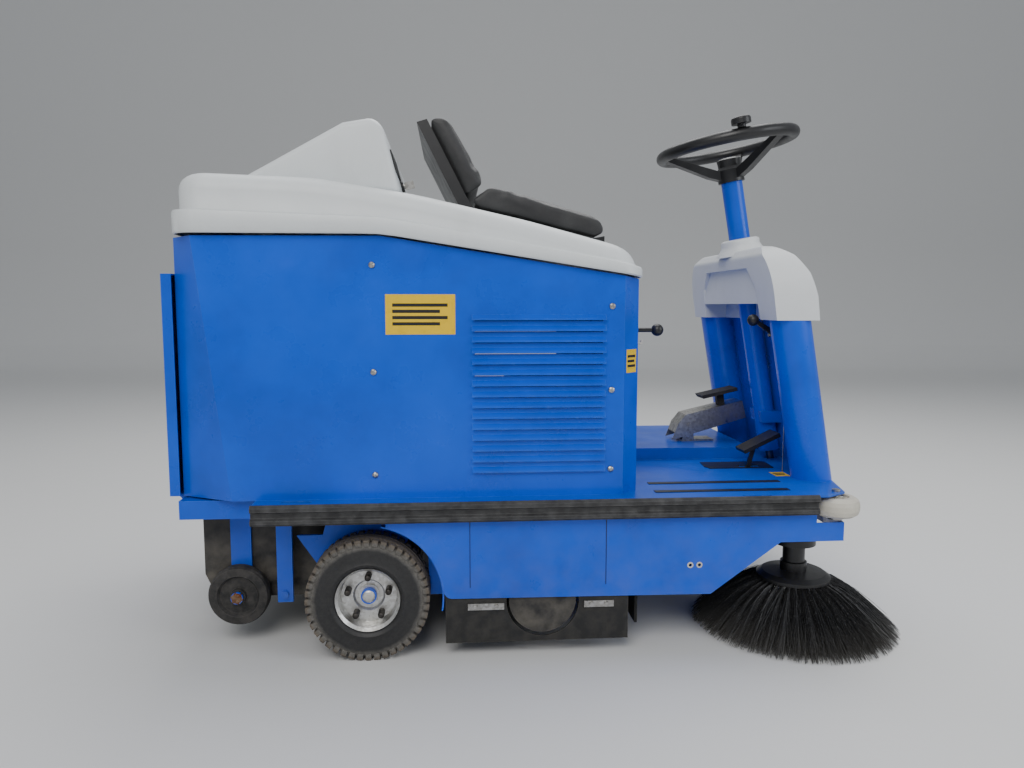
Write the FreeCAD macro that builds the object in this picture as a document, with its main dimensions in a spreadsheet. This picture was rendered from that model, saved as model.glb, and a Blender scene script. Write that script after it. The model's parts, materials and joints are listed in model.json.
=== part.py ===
"""Ride-on sweeper: steel chassis, tilting plastic hood with seat, hopper, brushes, wheels and steering.

Millimetres, +X forward, +Y left, +Z up. The origin lies on the ground below the middle of the
machine's outline. Shapes are drawn about the rear axle's centre line and carried to the origin by
rear_axle_x and centre_y.
"""

import FreeCAD, Part
import math
import os
import re

import Sketcher

V = FreeCAD.Vector
TINY = 1e-6

SIZES = {
    # Where the rear axle's middle lies in the part's frame
    "rear_axle_x": -392.5,
    "centre_y": 38.0,
    # Body and deck
    "sheet": 3.0,
    "deck_sheet": 4.0,
    "deck_top": 340.0,
    "deck_half": 420.0,
    "deck_front": 1078.0,
    "deck_corner_x": 1035.0,
    "deck_corner_y": 390.0,
    "deck_brow_y": 268.0,
    "deck_brow_x": 1064.0,
    "deck_taper_x": 985.0,
    "step_start": 560.0,
    "flange_rear": -230.0,
    "body_half": 375.0,
    "body_rear": -395.0,
    "body_rear_half": 315.0,
    "body_front": 583.0,
    "body_front_half": 337.0,
    "bevel_top": -343.0,
    "bevel_bottom": -279.0,
    "corner_bend": 545.0,
    "body_top": 885.0,
    "body_front_top": 802.0,
    "kink_x": 35.0,
    "louvre_rear": 222.0,
    "louvre_front": 505.0,
    "louvre_bottom": 391.0,
    "louvre_pitch": 23.0,
    "louvre_rows": 15.0,
    "louvre_height": 17.0,
    "louvre_depth": 8.0,
    # Frame
    "rail_inner": 310.0,
    "rail_outer": 350.0,
    "rail_height": 40.0,
    "rail_front": 1000.0,
    "tube_wall": 3.0,
    "guide_inner": 290.0,
    "guide_height": 4.0,
    # Bumper strip, skirt and rollers
    "strip_outer": 430.0,
    "strip_bottom": 299.0,
    "strip_top": 342.0,
    "strip_front": 962.0,
    "skirt_outer": 405.0,
    "skirt_arch": 160.0,
    "skirt_low": 124.0,
    "skirt_high": 235.0,
    "roller_x": 1018.0,
    "roller_y": 384.0,
    "roller_radius": 50.0,
    "roller_bottom": 288.0,
    "roller_top": 330.0,
    "roller_pin": 8.0,
    # Rear wheels
    "tyre_radius": 130.0,
    "tyre_outer": 410.0,
    "tyre_width": 85.0,
    "rim_radius": 68.0,
    "hub_radius": 34.0,
    "axle_radius": 12.5,
    "running": 0.05,
    # Front wheel and fork
    "front_wheel_x": 760.0,
    "front_wheel_radius": 100.0,
    "front_wheel_width": 70.0,
    "front_axle_radius": 10.0,
    "kingpin_radius": 20.0,
    # Main brush
    "brush_x": 370.0,
    "brush_z": 119.0,
    "brush_radius": 118.0,
    "brush_core": 45.0,
    "brush_half": 270.0,
    "brush_shaft": 12.0,
    "motor_pulley_radius": 26.0,
    "brush_pulley_radius": 40.0,
    "arm_pivot_x": 150.0,
    "arm_pivot_z": 125.0,
    "arm_inner": 296.0,
    "arm_sheet": 8.0,
    "end_disc_radius": 72.0,
    # Side brush
    "side_x": 978.0,
    "side_y": -275.0,
    "side_disc": 83.0,
    "side_reach": 235.0,
    "side_disc_z": 118.0,
    "side_shaft": 10.0,
    "side_pivot_x": 760.0,
    "side_pivot_z": 262.0,
    # Hopper
    "bin_half": 270.0,
    "bin_front": 100.0,
    "bin_top": 555.0,
    "bin_floor": 96.0,
    "bin_rear_top": -372.0,
    "bin_rear_low": -362.0,
    "door_half": 330.0,
    "door_rear": -419.0,
    "door_front": -398.0,
    "door_bottom": 342.0,
    "door_top": 811.0,
    "handle_half": 90.0,
    "handle_radius": 7.0,
    "handle_z": 640.0,
    "small_wheel_x": -290.0,
    "small_wheel_z": 112.0,
    "small_wheel_radius": 66.0,
    "small_wheel_inner": 282.0,
    "small_wheel_width": 34.0,
    "small_axle": 8.0,
    # Hood, console and seat
    "hood_half": 390.0,
    "hood_step_half": 375.0,
    "hood_wall": 4.0,
    "hood_rear": -388.0,
    "hood_front": 590.0,
    "console_half": 322.0,
    "seat_half": 230.0,
    "hinge_x": -402.5,
    "hinge_z": 884.0,
    "hinge_pin": 4.0,
    "face_lean": 14.4,
    # Column and steering
    "column_y": 249.0,
    "column_radius": 46.0,
    "column_foot_x": 1025.0,
    "column_top_x": 960.0,
    "column_top": 712.0,
    "column_lean": 10.0,
    "wall_set": 34.0,
    "cap_half": 295.0,
    "cap_mouth": 200.0,
    "steer_x": 887.0,
    "steer_z": 1152.0,
    "rim_ring": 164.0,
    "rim_grip": 15.0,
    "steer_tube": 26.5,
    "steer_shaft": 10.0,
    # Pedals and levers
    "treadle_x": 832.0,
    "treadle_y": 115.0,
    "treadle_z": 415.0,
    "treadle_half": 35.0,
    "flap_pedal_x": 850.0,
    "flap_pedal_y": -100.0,
    "flap_pedal_z": 300.0,
    "flap_x": 600.0,
    "flap_z": 170.0,
    "lever_x": 520.0,
    "lever_y": -250.0,
    "lever_z": 690.0,
    "knob_radius": 14.0,
    "side_lever_x": 952.0,
    "side_lever_z": 680.0,
    "cable_x": 985.0,
    "cable_y": -180.0,
    "cable_radius": 1.5,
    "nipple_radius": 4.8,
    "nipple_slack": 1.2,
    "gap": 0.3,
}

doc = FreeCAD.newDocument("RideOnSweeper")


def fill_sheet():
    """Put each size in the sheet, with its name as the alias."""
    sheet = doc.addObject("Spreadsheet::Sheet", "Sizes")
    for row, (name, size) in enumerate(SIZES.items(), start=1):
        sheet.set(f"A{row}", name)
        sheet.set(f"B{row}", str(size))
        sheet.setAlias(f"B{row}", name)
    doc.recompute()


def bound(text):
    """An expression in which every size is read from the sheet."""

    def alias(match):
        word = match.group()
        return f"Sizes.{word}" if word in SIZES else word

    return re.sub(r"[a-z_]\w*", alias, str(text))


def opposite(text):
    """The expression with its sign turned round."""
    return f"-({text})"


def sided(side, inner, outer):
    """Low and high places across the machine for the right (-1) or left (+1) side."""
    return (inner, outer) if side > 0 else (opposite(outer), opposite(inner))


def across(side, text):
    """A place across the machine on the right (-1) or left (+1) side."""
    return text if side > 0 else opposite(text)


def put(piece, x="0", y="0", z="0", tilt=None, axis=V(0, 1, 0)):
    """Place a piece about the rear axle, turned by tilt degrees about an axis through that place."""
    if tilt is not None:
        piece.Placement = FreeCAD.Placement(V(0, 0, 0), FreeCAD.Rotation(axis, 10))
        piece.setExpression("Placement.Rotation.Angle", bound(tilt))
    piece.setExpression("Placement.Base.x", bound(f"rear_axle_x + {x}"))
    piece.setExpression("Placement.Base.y", bound(f"centre_y + {y}"))
    piece.setExpression("Placement.Base.z", bound(z))


def new_body(label, x="0", y="0", z="0", tilt=None, axis=V(0, 1, 0)):
    """An empty body with its name and its place."""
    body = doc.addObject("PartDesign::Body", label)
    body.Label = label
    put(body, x, y, z, tilt, axis)
    return body


def circle(radius, x="0", y="0"):
    """A round outline for draw."""
    return {"radius": radius, "x": x, "y": y}


def rectangle(x0, x1, y0, y1):
    """A four-sided outline for draw."""
    return [(x0, y0), (x1, y0), (x1, y1), (x0, y1)]


def draw_circle(sketch, outline):
    """Add a circle whose centre and radius follow the sheet."""
    index = sketch.addGeometry(Part.Circle(V(1, 1, 0), V(0, 0, 1), 5))
    for kind, key in (("DistanceX", "x"), ("DistanceY", "y")):
        number = sketch.addConstraint(Sketcher.Constraint(kind, -1, 1, index, 3, 1.0))
        sketch.setExpression(f"Constraints[{number}]", bound(outline[key]))
    number = sketch.addConstraint(Sketcher.Constraint("Radius", index, 5.0))
    sketch.setExpression(f"Constraints[{number}]", bound(outline["radius"]))


def draw_polygon(sketch, points):
    """Add a closed outline whose corners follow the sheet."""
    first = sketch.GeometryCount
    count = len(points)
    starts = [V(*(evaluated(c) for c in point), 0) for point in points]
    for i in range(count):
        sketch.addGeometry(Part.LineSegment(starts[i], starts[(i + 1) % count]))
    for i in range(count):
        following = first + (i + 1) % count
        sketch.addConstraint(Sketcher.Constraint("Coincident", first + i, 2, following, 1))
    for i, (x, y) in enumerate(points):
        for kind, place, now in (("DistanceX", x, starts[i].x), ("DistanceY", y, starts[i].y)):
            number = sketch.addConstraint(Sketcher.Constraint(kind, -1, 1, first + i, 1, now))
            sketch.setExpression(f"Constraints[{number}]", bound(place))


def evaluated(text):
    """The number that an expression of sizes gives now."""
    return float(doc.getObject("Sizes").evalExpression(bound(text)))


def draw(body, plane, outlines, offset="0"):
    """A sketch of outlines on the body's own XY, XZ or YZ plane, moved along that plane's normal."""
    sketch = body.newObject("Sketcher::SketchObject", f"{body.Name}_sketch")
    base = [o for o in body.Origin.OriginFeatures if o.Role == f"{plane}_Plane"][0]
    sketch.AttachmentSupport = [(base, "")]
    sketch.MapMode = "FlatFace"
    sketch.setExpression("AttachmentOffset.Base.z", bound(offset))
    for outline in outlines:
        if isinstance(outline, dict):
            draw_circle(sketch, outline)
        else:
            draw_polygon(sketch, outline)
    return sketch


def extrude(body, plane, outlines, low, high, kind="PartDesign::Pad"):
    """Fill (Pad) or clear (Pocket) the outlines from low to high along X, Y or Z."""
    backwards = plane == "XZ"
    start = opposite(high) if backwards else low
    sketch = draw(body, plane, outlines, start)
    feature = body.newObject(kind, f"{body.Name}_{kind.split('::')[1].lower()}")
    feature.Profile = sketch
    feature.setExpression("Length", bound(f"({high}) - ({low})"))
    feature.Reversed = kind == "PartDesign::Pocket"
    doc.recompute()
    return feature


def clear(body, plane, outlines, low, high):
    """Cut the outlines away from low to high, and make sure that something went."""
    before = body.Shape.Volume
    feature = extrude(body, plane, outlines, low, high, "PartDesign::Pocket")
    if not body.Shape.Volume < before - TINY:
        raise RuntimeError(f"{feature.Name} cuts nothing from {body.Label}")
    return feature


def spin(body, outline, plane="XZ", axis="V_Axis"):
    """Turn an outline right round the body's own axis."""
    sketch = draw(body, plane, [outline])
    feature = body.newObject("PartDesign::Revolution", f"{body.Name}_turn")
    feature.Profile = sketch
    feature.ReferenceAxis = (sketch, [axis])
    feature.Angle = 360
    doc.recompute()
    return feature


def soften(body, radius, chosen):
    """Round the edges of the tip that chosen accepts, in the body's own frame."""
    tip = body.Tip
    names = [f"Edge{i}" for i, edge in enumerate(tip.Shape.Edges, start=1) if chosen(edge)]
    fillet = body.newObject("PartDesign::Fillet", f"{body.Name}_round")
    fillet.Base = (tip, names)
    fillet.setExpression("Radius", bound(radius))
    doc.recompute()
    return fillet


def repeat(body, feature, direction, length, count):
    """Repeat a feature along one of the body's axes, evenly over a length."""
    pattern = body.newObject("PartDesign::LinearPattern", f"{body.Name}_row")
    pattern.Originals = [feature]
    axis = [o for o in body.Origin.OriginFeatures if o.Role == f"{direction}_Axis"][0]
    pattern.Direction = (axis, [""])
    pattern.setExpression("Length", bound(length))
    pattern.setExpression("Occurrences", bound(count))
    body.Tip = pattern
    doc.recompute()
    return pattern


def around(body, feature, count, direction="Z"):
    """Repeat a feature right round one of the body's axes."""
    pattern = body.newObject("PartDesign::PolarPattern", f"{body.Name}_ring")
    pattern.Originals = [feature]
    axis = [o for o in body.Origin.OriginFeatures if o.Role == f"{direction}_Axis"][0]
    pattern.Axis = (axis, [""])
    pattern.Angle = 360
    pattern.Occurrences = count
    body.Tip = pattern
    doc.recompute()
    return pattern


def group(label, pieces):
    """Identical or matching pieces that share a node."""
    whole = doc.addObject("Part::Compound", label)
    whole.Label = label
    whole.Links = pieces
    doc.recompute()
    return whole


def is_along(edge, direction):
    """Whether a straight edge runs along a direction."""
    if not isinstance(edge.Curve, Part.Line):
        return False
    return abs(abs(edge.Curve.Direction.dot(direction)) - 1) < TINY


def both_sides(label, build):
    """The right and left piece that build makes, named label_right and label_left."""
    return [build(f"{label}_right", -1), build(f"{label}_left", 1)]


# ---------------------------------------------------------------- chassis

DECK_BOTTOM = "deck_top - deck_sheet"
RAIL_BOTTOM = "deck_top - deck_sheet - rail_height"


def frame_rail(label, side):
    """Box-section rail along the machine."""
    rail = new_body(label)
    low, high = sided(side, "rail_inner", "rail_outer")
    outer = rectangle(low, high, RAIL_BOTTOM, DECK_BOTTOM)
    inner = rectangle(
        f"{low} + tube_wall",
        f"{high} - tube_wall",
        f"{RAIL_BOTTOM} + tube_wall",
        f"{DECK_BOTTOM} - tube_wall",
    )
    extrude(rail, "YZ", [outer, inner], "body_rear", "rail_front")
    roller_clearance(rail, side)
    return rail


def frame_leg(label, side):
    """Flat leg below the rail behind the wheel, with a bolt near its foot."""
    leg = new_body(label)
    low, high = sided(side, "rail_inner + 2", "rail_inner + 12")
    extrude(leg, "XZ", [rectangle("-203", "-170", "100", RAIL_BOTTOM)], low, high)
    head_low, head_high = sided(side, "rail_inner + 12", "rail_inner + 18")
    extrude(leg, "XZ", [circle("8", "-187", "118")], head_low, head_high)
    return leg


def crossmember(label, rear):
    """Box-section tube between the rails."""
    tube = new_body(label)
    width = "rail_height"
    outer = rectangle(rear, f"{rear} + {width}", RAIL_BOTTOM, DECK_BOTTOM)
    inner = rectangle(
        f"{rear} + tube_wall",
        f"{rear} + {width} - tube_wall",
        f"{RAIL_BOTTOM} + tube_wall",
        f"{DECK_BOTTOM} - tube_wall",
    )
    extrude(tube, "XZ", [outer, inner], "-rail_inner", "rail_inner")
    return tube


def platform():
    """Step-through deck in front of the seat, with tapered front corners, slots and pedal opening."""
    deck = new_body("platform")
    right = [
        ("step_start", "-deck_half"),
        ("deck_taper_x", "-deck_half"),
        ("deck_corner_x", "-deck_corner_y"),
        ("deck_brow_x", "-deck_brow_y"),
        ("deck_front", "-deck_brow_y + 40"),
    ]
    left = [(x, opposite(y)) for x, y in reversed(right)]
    extrude(deck, "XY", [right + left], DECK_BOTTOM, "deck_top")
    for side in (-1, 1):
        low, high = sided(side, "deck_half - 14", "deck_half - 5")
        clear(deck, "XY", [rectangle("799", "862", low, high)], DECK_BOTTOM, "deck_top")
    slot = rectangle("flap_pedal_x + 50", "flap_pedal_x + 104", "flap_pedal_y - 22", "flap_pedal_y - 6")
    clear(deck, "XY", [slot], DECK_BOTTOM, "deck_top")
    openings = [
        circle("steer_shaft + 4", "steer_x + (steer_z - deck_top) * tan(column_lean)", "0"),
        circle("cable_radius + 3", "cable_x", "cable_y"),
    ]
    clear(deck, "XY", openings, DECK_BOTTOM, "deck_top")
    for x, y in (("roller_x", "-roller_y"), ("roller_x", "roller_y")):
        clear(deck, "XY", [circle("5", x, y)], DECK_BOTTOM, "deck_top")
    return deck


def side_flange(label, side):
    """Narrow ledge outside the side panel, on which the bumper strip hangs."""
    ledge = new_body(label)
    low, high = sided(side, "rail_inner + 20", "deck_half")
    extrude(ledge, "XY", [rectangle("flange_rear", "step_start", low, high)], DECK_BOTTOM, "deck_top")
    near, far = sided(side, "deck_half - 34", "deck_half - 22")
    clear(ledge, "XY", [rectangle("-175", "-113", near, far)], DECK_BOTTOM, "deck_top")
    return ledge


def battery_deck():
    """Sheet floor under the battery, on the rails."""
    sheet = new_body("battery_deck")
    outline = rectangle("arm_pivot_x - 5", "step_start", "-rail_inner - 20", "rail_inner + 20")
    extrude(sheet, "XY", [outline], DECK_BOTTOM, "deck_top - 1")
    return sheet


def raised_floor():
    """Folded steel tray that raises the left half of the deck under the traction pedal."""
    top = new_body("raised_floor_top")
    extrude(top, "XY", [rectangle("body_front", "970", "-10", "372")], "deck_top + 28", "deck_top + 31")
    wall = new_body("raised_floor_wall")
    extrude(wall, "XY", [rectangle("body_front", "970", "-10", "-7")], "deck_top", "deck_top + 28")
    far = new_body("raised_floor_far")
    extrude(far, "XY", [rectangle("body_front", "970", "369", "372")], "deck_top", "deck_top + 28")
    return [top, wall, far]


def bumper_strip(label, side):
    """Ridged rubber-faced strip along the deck's edge."""
    strip = new_body(label)
    outline = [
        (across(side, "skirt_outer"), DECK_BOTTOM),
        (across(side, "skirt_outer"), "strip_bottom"),
        (across(side, "strip_outer - 5"), "strip_bottom"),
        (across(side, "strip_outer"), "strip_bottom + 5"),
        (across(side, "strip_outer"), "strip_bottom + 12"),
        (across(side, "strip_outer - 7"), "strip_bottom + 16"),
        (across(side, "strip_outer - 7"), "strip_top - 17"),
        (across(side, "strip_outer"), "strip_top - 13"),
        (across(side, "strip_outer"), "strip_top - 5"),
        (across(side, "strip_outer - 5"), "strip_top"),
        (across(side, "deck_half"), "strip_top"),
        (across(side, "deck_half"), DECK_BOTTOM),
    ]
    extrude(strip, "YZ", [outline], "flange_rear", "strip_front")
    return strip


def skirt(label, side):
    """Side skirt with the rear wheel's arch and a raised front over the side brush."""
    plate = new_body(label)
    low, high = sided(side, "skirt_outer - sheet", "skirt_outer")
    outline = [
        ("40", DECK_BOTTOM),
        ("40", "skirt_low + 6"),
        ("735", "skirt_low"),
        ("888", "skirt_high"),
        ("deck_corner_x - 6", "skirt_high"),
        ("deck_corner_x - 6", DECK_BOTTOM),
    ]
    extrude(plate, "XZ", [outline], low, high)
    clear(plate, "XZ", [circle("skirt_arch", "0", "tyre_radius")], low, high)
    foot = V(evaluated("skirt_arch"), 0, evaluated("skirt_low"))
    soften(plate, "18", lambda e: is_along(e, V(0, 1, 0)) and near_corner(e, foot, 40))
    roller_clearance(plate, side)
    holes = [circle("3.5", "689", "189"), circle("3.5", "709", "189")]
    clear(plate, "XZ", holes, low, high)
    return plate


def near_corner(edge, place, reach):
    """Whether an edge that runs across the machine passes near a place."""
    middle = edge.BoundBox.Center
    return abs(middle.x - place.x) < reach and abs(middle.z - place.z) < reach / 2


def roller_clearance(plate, side):
    """Cut the round space in which a bumper roller turns."""
    outline = circle("roller_radius + 5", "roller_x", across(side, "roller_y"))
    clear(plate, "XY", [outline], "roller_bottom - 12", DECK_BOTTOM)


def front_apron():
    """Front sheet under the deck's edge, between the skirts."""
    sheet = new_body("front_apron")
    right = [("deck_corner_x - 6", "-skirt_outer + sheet"), ("deck_brow_x - 9", "-deck_brow_y + 4")]
    outer = right + [(x, opposite(y)) for x, y in reversed(right)]
    inner = [(f"{x} - sheet", y) for x, y in reversed(outer)]
    extrude(sheet, "XY", [outer + inner], "skirt_high", DECK_BOTTOM)
    for side in (-1, 1):
        roller_clearance(sheet, side)
    return sheet


def side_panel(label, side):
    """Louvred body side with a slanted rear bevel and a bent front corner."""
    panel = new_body(label)

    def outline(bevel):
        outer = [
            ("body_rear", "body_rear_half"),
            (bevel, "body_half"),
            ("corner_bend", "body_half"),
            ("body_front", "body_front_half"),
        ]
        inner = [
            ("body_front - sheet", "body_front_half - 1"),
            ("corner_bend - 1", "body_half - sheet"),
            (f"{bevel} + 1", "body_half - sheet"),
            ("body_rear + sheet", "body_rear_half - 1"),
        ]
        return [(x, across(side, y)) for x, y in outer + inner]

    low = draw(panel, "XY", [outline("bevel_bottom")], "deck_top")
    high = draw(panel, "XY", [outline("bevel_top")], "body_top + 5")
    loft = panel.newObject("PartDesign::AdditiveLoft", f"{label}_loft")
    loft.Profile = low
    loft.Sections = [high]
    loft.Ruled = True
    doc.recompute()
    slope = "(body_top + 2 - body_front_top) / (body_front - kink_x)"
    above = [
        ("body_rear - 20", "body_top"),
        ("kink_x", "body_top + 2"),
        ("body_front + 20", f"body_front_top - 20 * {slope}"),
        ("body_front + 20", "body_top + 60"),
        ("body_rear - 20", "body_top + 60"),
    ]
    clear(panel, "XZ", [above], "-body_half - 10", "body_half + 10")
    near = sided(side, "body_half - sheet - 1", "body_half + 1")
    mouth = rectangle("louvre_rear + 6", "louvre_front - 6", "louvre_bottom", "louvre_bottom + 9")
    slot = clear(panel, "XZ", [mouth], *near)
    repeat(panel, slot, "Z", "louvre_pitch * (louvre_rows - 1)", "louvre_rows")
    blade = [
        (across(side, "body_half - sheet"), "louvre_bottom + louvre_height"),
        (across(side, "body_half - sheet"), "louvre_bottom + louvre_height - 4"),
        (across(side, "body_half + louvre_depth - 2"), "louvre_bottom + 2"),
        (across(side, "body_half + louvre_depth"), "louvre_bottom + 2"),
        (across(side, "body_half + louvre_depth"), "louvre_bottom + 5"),
    ]
    hood = extrude(panel, "YZ", [blade], "louvre_rear", "louvre_front")
    repeat(panel, hood, "Z", "louvre_pitch * (louvre_rows - 1)", "louvre_rows")
    return panel


def front_panel():
    """Body front behind the driver's legs, with the slot for the brush lever."""
    panel = new_body("front_panel")
    outline = rectangle("-body_front_half + 1", "body_front_half - 1", "deck_top", "body_front_top")
    extrude(panel, "YZ", [outline], "body_front - sheet", "body_front")
    slot = rectangle("lever_y - 10", "lever_y + 10", "lever_z - 14", "lever_z + 50")
    clear(panel, "YZ", [slot], "body_front - sheet", "body_front")
    return panel


def rear_crosspanel():
    """Body sheet above the hopper door, carrying the hood's hinges."""
    panel = new_body("rear_crosspanel")
    outline = rectangle("-body_rear_half + 1", "body_rear_half - 1", "door_top + 4", "body_top")
    extrude(panel, "YZ", [outline], "body_rear", "body_rear + sheet")
    return panel


def body_post(label, x, y, top):
    """Angle post inside a corner of the body."""
    post = new_body(label)
    extrude(post, "XY", [rectangle(x, f"{x} + 22", y, f"{y} + 22")], "deck_top", top)
    return post


def body_posts():
    """The four posts inside the body's corners."""
    return [
        body_post("post_0", "body_rear + sheet", "body_rear_half - 28", "body_top - 30"),
        body_post("post_1", "body_rear + sheet", "-body_rear_half + 6", "body_top - 30"),
        body_post("post_2", "body_front - sheet - 22", "body_front_half - 24", "body_front_top - 20"),
        body_post("post_3", "body_front - sheet - 22", "-body_front_half + 2", "body_front_top - 20"),
    ]


def panel_screws():
    """Dome-headed screws of the right and left side panels."""
    rear = [("18", "828"), ("18", "608"), ("18", "391")]
    front = [("518", "744"), ("518", "567"), ("518", "396")]
    screws = []
    for side in (-1, 1):
        for x, z in rear + front:
            screw = new_body(f"screw_{len(screws)}", x, across(side, "body_half"), z)
            head = [("0", "0"), ("7", "0"), ("6", "3"), ("3", "5"), ("0", "5")]
            spin(screw, [(a, b if side < 0 else opposite(b)) for a, b in head])
            screws.append(turned(screw, "90", V(1, 0, 0)))
    return screws


def turned(body, angle, axis):
    """Turn a placed body about its own origin."""
    body.Placement = FreeCAD.Placement(V(0, 0, 0), FreeCAD.Rotation(axis, 10))
    body.setExpression("Placement.Rotation.Angle", bound(angle))
    doc.recompute()
    return body


# ---------------------------------------------------------------- axles and wheels


def axle_hanger(label, side):
    """Plate below the rail that carries the wheel's stub axle."""
    plate = new_body(label)
    outline = [
        ("-160", "247"),
        ("-104", "247"),
        ("-90", RAIL_BOTTOM),
        ("90", RAIL_BOTTOM),
        ("60", "tyre_radius - 28"),
        ("-60", "tyre_radius - 28"),
        ("-130", "202"),
    ]
    extrude(plate, "XZ", [outline], *sided(side, "rail_inner", "rail_inner + 8"))
    return plate


def stub_axle(label, side):
    """Turned axle with a collar inside the wheel and a nut outside."""
    axle = new_body(label, "0", "0", "tyre_radius")
    inner = "rail_inner + 8"
    outline = [
        ("tyre_outer - 28", "0"),
        (inner, "0"),
        (inner, "axle_radius + 8"),
        (f"{inner} + 10", "axle_radius + 8"),
        (f"{inner} + 10", "axle_radius"),
        ("tyre_outer - 42", "axle_radius"),
        ("tyre_outer - 42", "axle_radius + 4"),
        ("tyre_outer - 28", "axle_radius + 4"),
    ]
    spin(axle, [(across(side, y), r) for y, r in outline], "YZ", "H_Axis")
    return axle


def wheel_arch(label, side):
    """Front quarter of the liner round the rear tyre."""
    liner = new_body(label)
    low, high = sided(side, "rail_inner + 12", "skirt_outer - sheet")
    rings = [circle("skirt_arch", "0", "tyre_radius"), circle("skirt_arch - sheet", "0", "tyre_radius")]
    extrude(liner, "XZ", rings, low, high)
    behind = rectangle("-skirt_arch - 5", "30", "-40", "tyre_radius + skirt_arch + 5")
    clear(liner, "XZ", [behind], low, high)
    clear(liner, "XZ", [rectangle("0", "skirt_arch + 5", "-40", "102")], low, high)
    return liner


def rear_tyre(label, side):
    """Cushion tyre with rounded shoulders and a bead that seats on the rim."""
    tyre = new_body(label, "0", across(side, "tyre_outer - tyre_width / 2"), "tyre_radius")
    outline = [
        ("-tyre_width / 2 + 12", "rim_radius"),
        ("tyre_width / 2 - 12", "rim_radius"),
        ("tyre_width / 2 - 1", "rim_radius + 10"),
        ("tyre_width / 2", "tyre_radius - 30"),
        ("tyre_width / 2 - 7", "tyre_radius - 9"),
        ("tyre_width / 2 - 18", "tyre_radius"),
        ("-tyre_width / 2 + 18", "tyre_radius"),
        ("-tyre_width / 2 + 7", "tyre_radius - 9"),
        ("-tyre_width / 2", "tyre_radius - 30"),
        ("-tyre_width / 2 + 1", "rim_radius + 10"),
    ]
    spin(tyre, outline, "YZ", "H_Axis")
    return tyre


def rear_rim(label, side):
    """Pressed rim with its dish, bolt circle and bored hub."""
    rim = new_body(label, "0", across(side, "tyre_outer - tyre_width / 2"), "tyre_radius")
    outline = [
        ("-tyre_width / 2 + 22", "axle_radius + running"),
        ("tyre_width / 2 - 44.2", "axle_radius + running"),
        ("tyre_width / 2 - 44.2", "hub_radius - 4"),
        ("tyre_width / 2 - 38", "hub_radius"),
        ("tyre_width / 2 - 38", "rim_radius - 10"),
        ("tyre_width / 2 - 12", "rim_radius - 6"),
        ("tyre_width / 2 - 6", "rim_radius"),
        ("-tyre_width / 2 + 6", "rim_radius"),
        ("-tyre_width / 2 + 12", "rim_radius - 6"),
        ("tyre_width / 2 - 44", "rim_radius - 14"),
        ("tyre_width / 2 - 44", "hub_radius"),
        ("-tyre_width / 2 + 22", "hub_radius - 8"),
    ]
    spin(rim, [(across(side, y), r) for y, r in outline], "YZ", "H_Axis")
    low, high = sided(side, "tyre_width / 2 - 50", "tyre_width / 2 - 30")
    hole = clear(rim, "XZ", [circle("4.5", "0", "hub_radius + 11")], low, high)
    around(rim, hole, 5, "Y")
    return rim


def front_fork():
    """Fork with a kingpin that turns in the steering head."""
    fork = new_body("front_fork", "front_wheel_x", "0", "front_wheel_radius")
    half = "front_wheel_width / 2 + 6"
    crown = "front_wheel_radius + 16"
    for low, high in ((opposite(f"{half} + 8"), opposite(half)), (half, f"{half} + 8")):
        leg = [("-26", "0"), ("26", "0"), ("26", crown), ("-26", crown)]
        extrude(fork, "XZ", [leg], low, high)
    outline = rectangle("-26", "26", opposite(f"{half} + 8"), f"{half} + 8")
    extrude(fork, "XY", [outline], crown, f"{crown} + 10")
    pin_top = f"{DECK_BOTTOM} - front_wheel_radius - 8"
    extrude(fork, "XY", [circle("kingpin_radius")], f"{crown} + 10", pin_top)
    cross = [circle("front_axle_radius", "0", "0")]
    extrude(fork, "XZ", cross, opposite(half), half)
    return fork


def steering_head():
    """Bored block under the deck that holds the fork's kingpin."""
    head = new_body("steering_head", "front_wheel_x", "0", "0")
    low = "2 * front_wheel_radius + 26 + gap"
    rings = [circle("kingpin_radius + 16"), circle("kingpin_radius + running")]
    extrude(head, "XY", rings, low, DECK_BOTTOM)
    return head


def front_wheel():
    """Solid-tyred driven wheel with a hub motor."""
    wheel = new_body("front_wheel", "front_wheel_x", "0", "front_wheel_radius")
    half = "front_wheel_width / 2"
    outline = [
        (opposite(half), "front_axle_radius + running"),
        (half, "front_axle_radius + running"),
        (half, "60"),
        (f"{half} - 4", "62"),
        (f"{half} - 4", "front_wheel_radius - 22"),
        (half, "front_wheel_radius - 18"),
        (f"{half} - 2", "front_wheel_radius - 6"),
        (f"{half} - 10", "front_wheel_radius"),
        (f"-{half} + 10", "front_wheel_radius"),
        (f"-{half} + 2", "front_wheel_radius - 6"),
        (opposite(half), "front_wheel_radius - 18"),
        (f"-{half} + 4", "front_wheel_radius - 22"),
        (f"-{half} + 4", "62"),
        (opposite(half), "60"),
    ]
    spin(wheel, outline, "YZ", "H_Axis")
    return wheel


# ---------------------------------------------------------------- brushes


def brush_arm(label, side):
    """Lifting arm with a boss round its pivot and the end disc that covers the brush's bearing."""
    arm = new_body(label)
    low, high = sided(side, "arm_inner", "arm_inner + arm_sheet")
    bar = [
        ("arm_pivot_x", "arm_pivot_z - 20"),
        ("brush_x", "brush_z - 26"),
        ("brush_x", "brush_z + 26"),
        ("arm_pivot_x", "arm_pivot_z + 20"),
    ]
    extrude(arm, "XZ", [bar], low, high)
    extrude(arm, "XZ", [circle("30", "brush_x", "brush_z")], low, high)
    extrude(arm, "XZ", [circle("22", "arm_pivot_x", "arm_pivot_z")], low, high)
    if side < 0:
        add_end_disc(arm, side)
    bore_low, bore_high = sided(side, "arm_inner - 1", "arm_inner + 30")
    clear(arm, "XZ", [circle("brush_shaft + running", "brush_x", "brush_z")], bore_low, bore_high)
    clear(arm, "XZ", [circle("8 + running", "arm_pivot_x", "arm_pivot_z")], bore_low, bore_high)
    return arm


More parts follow.
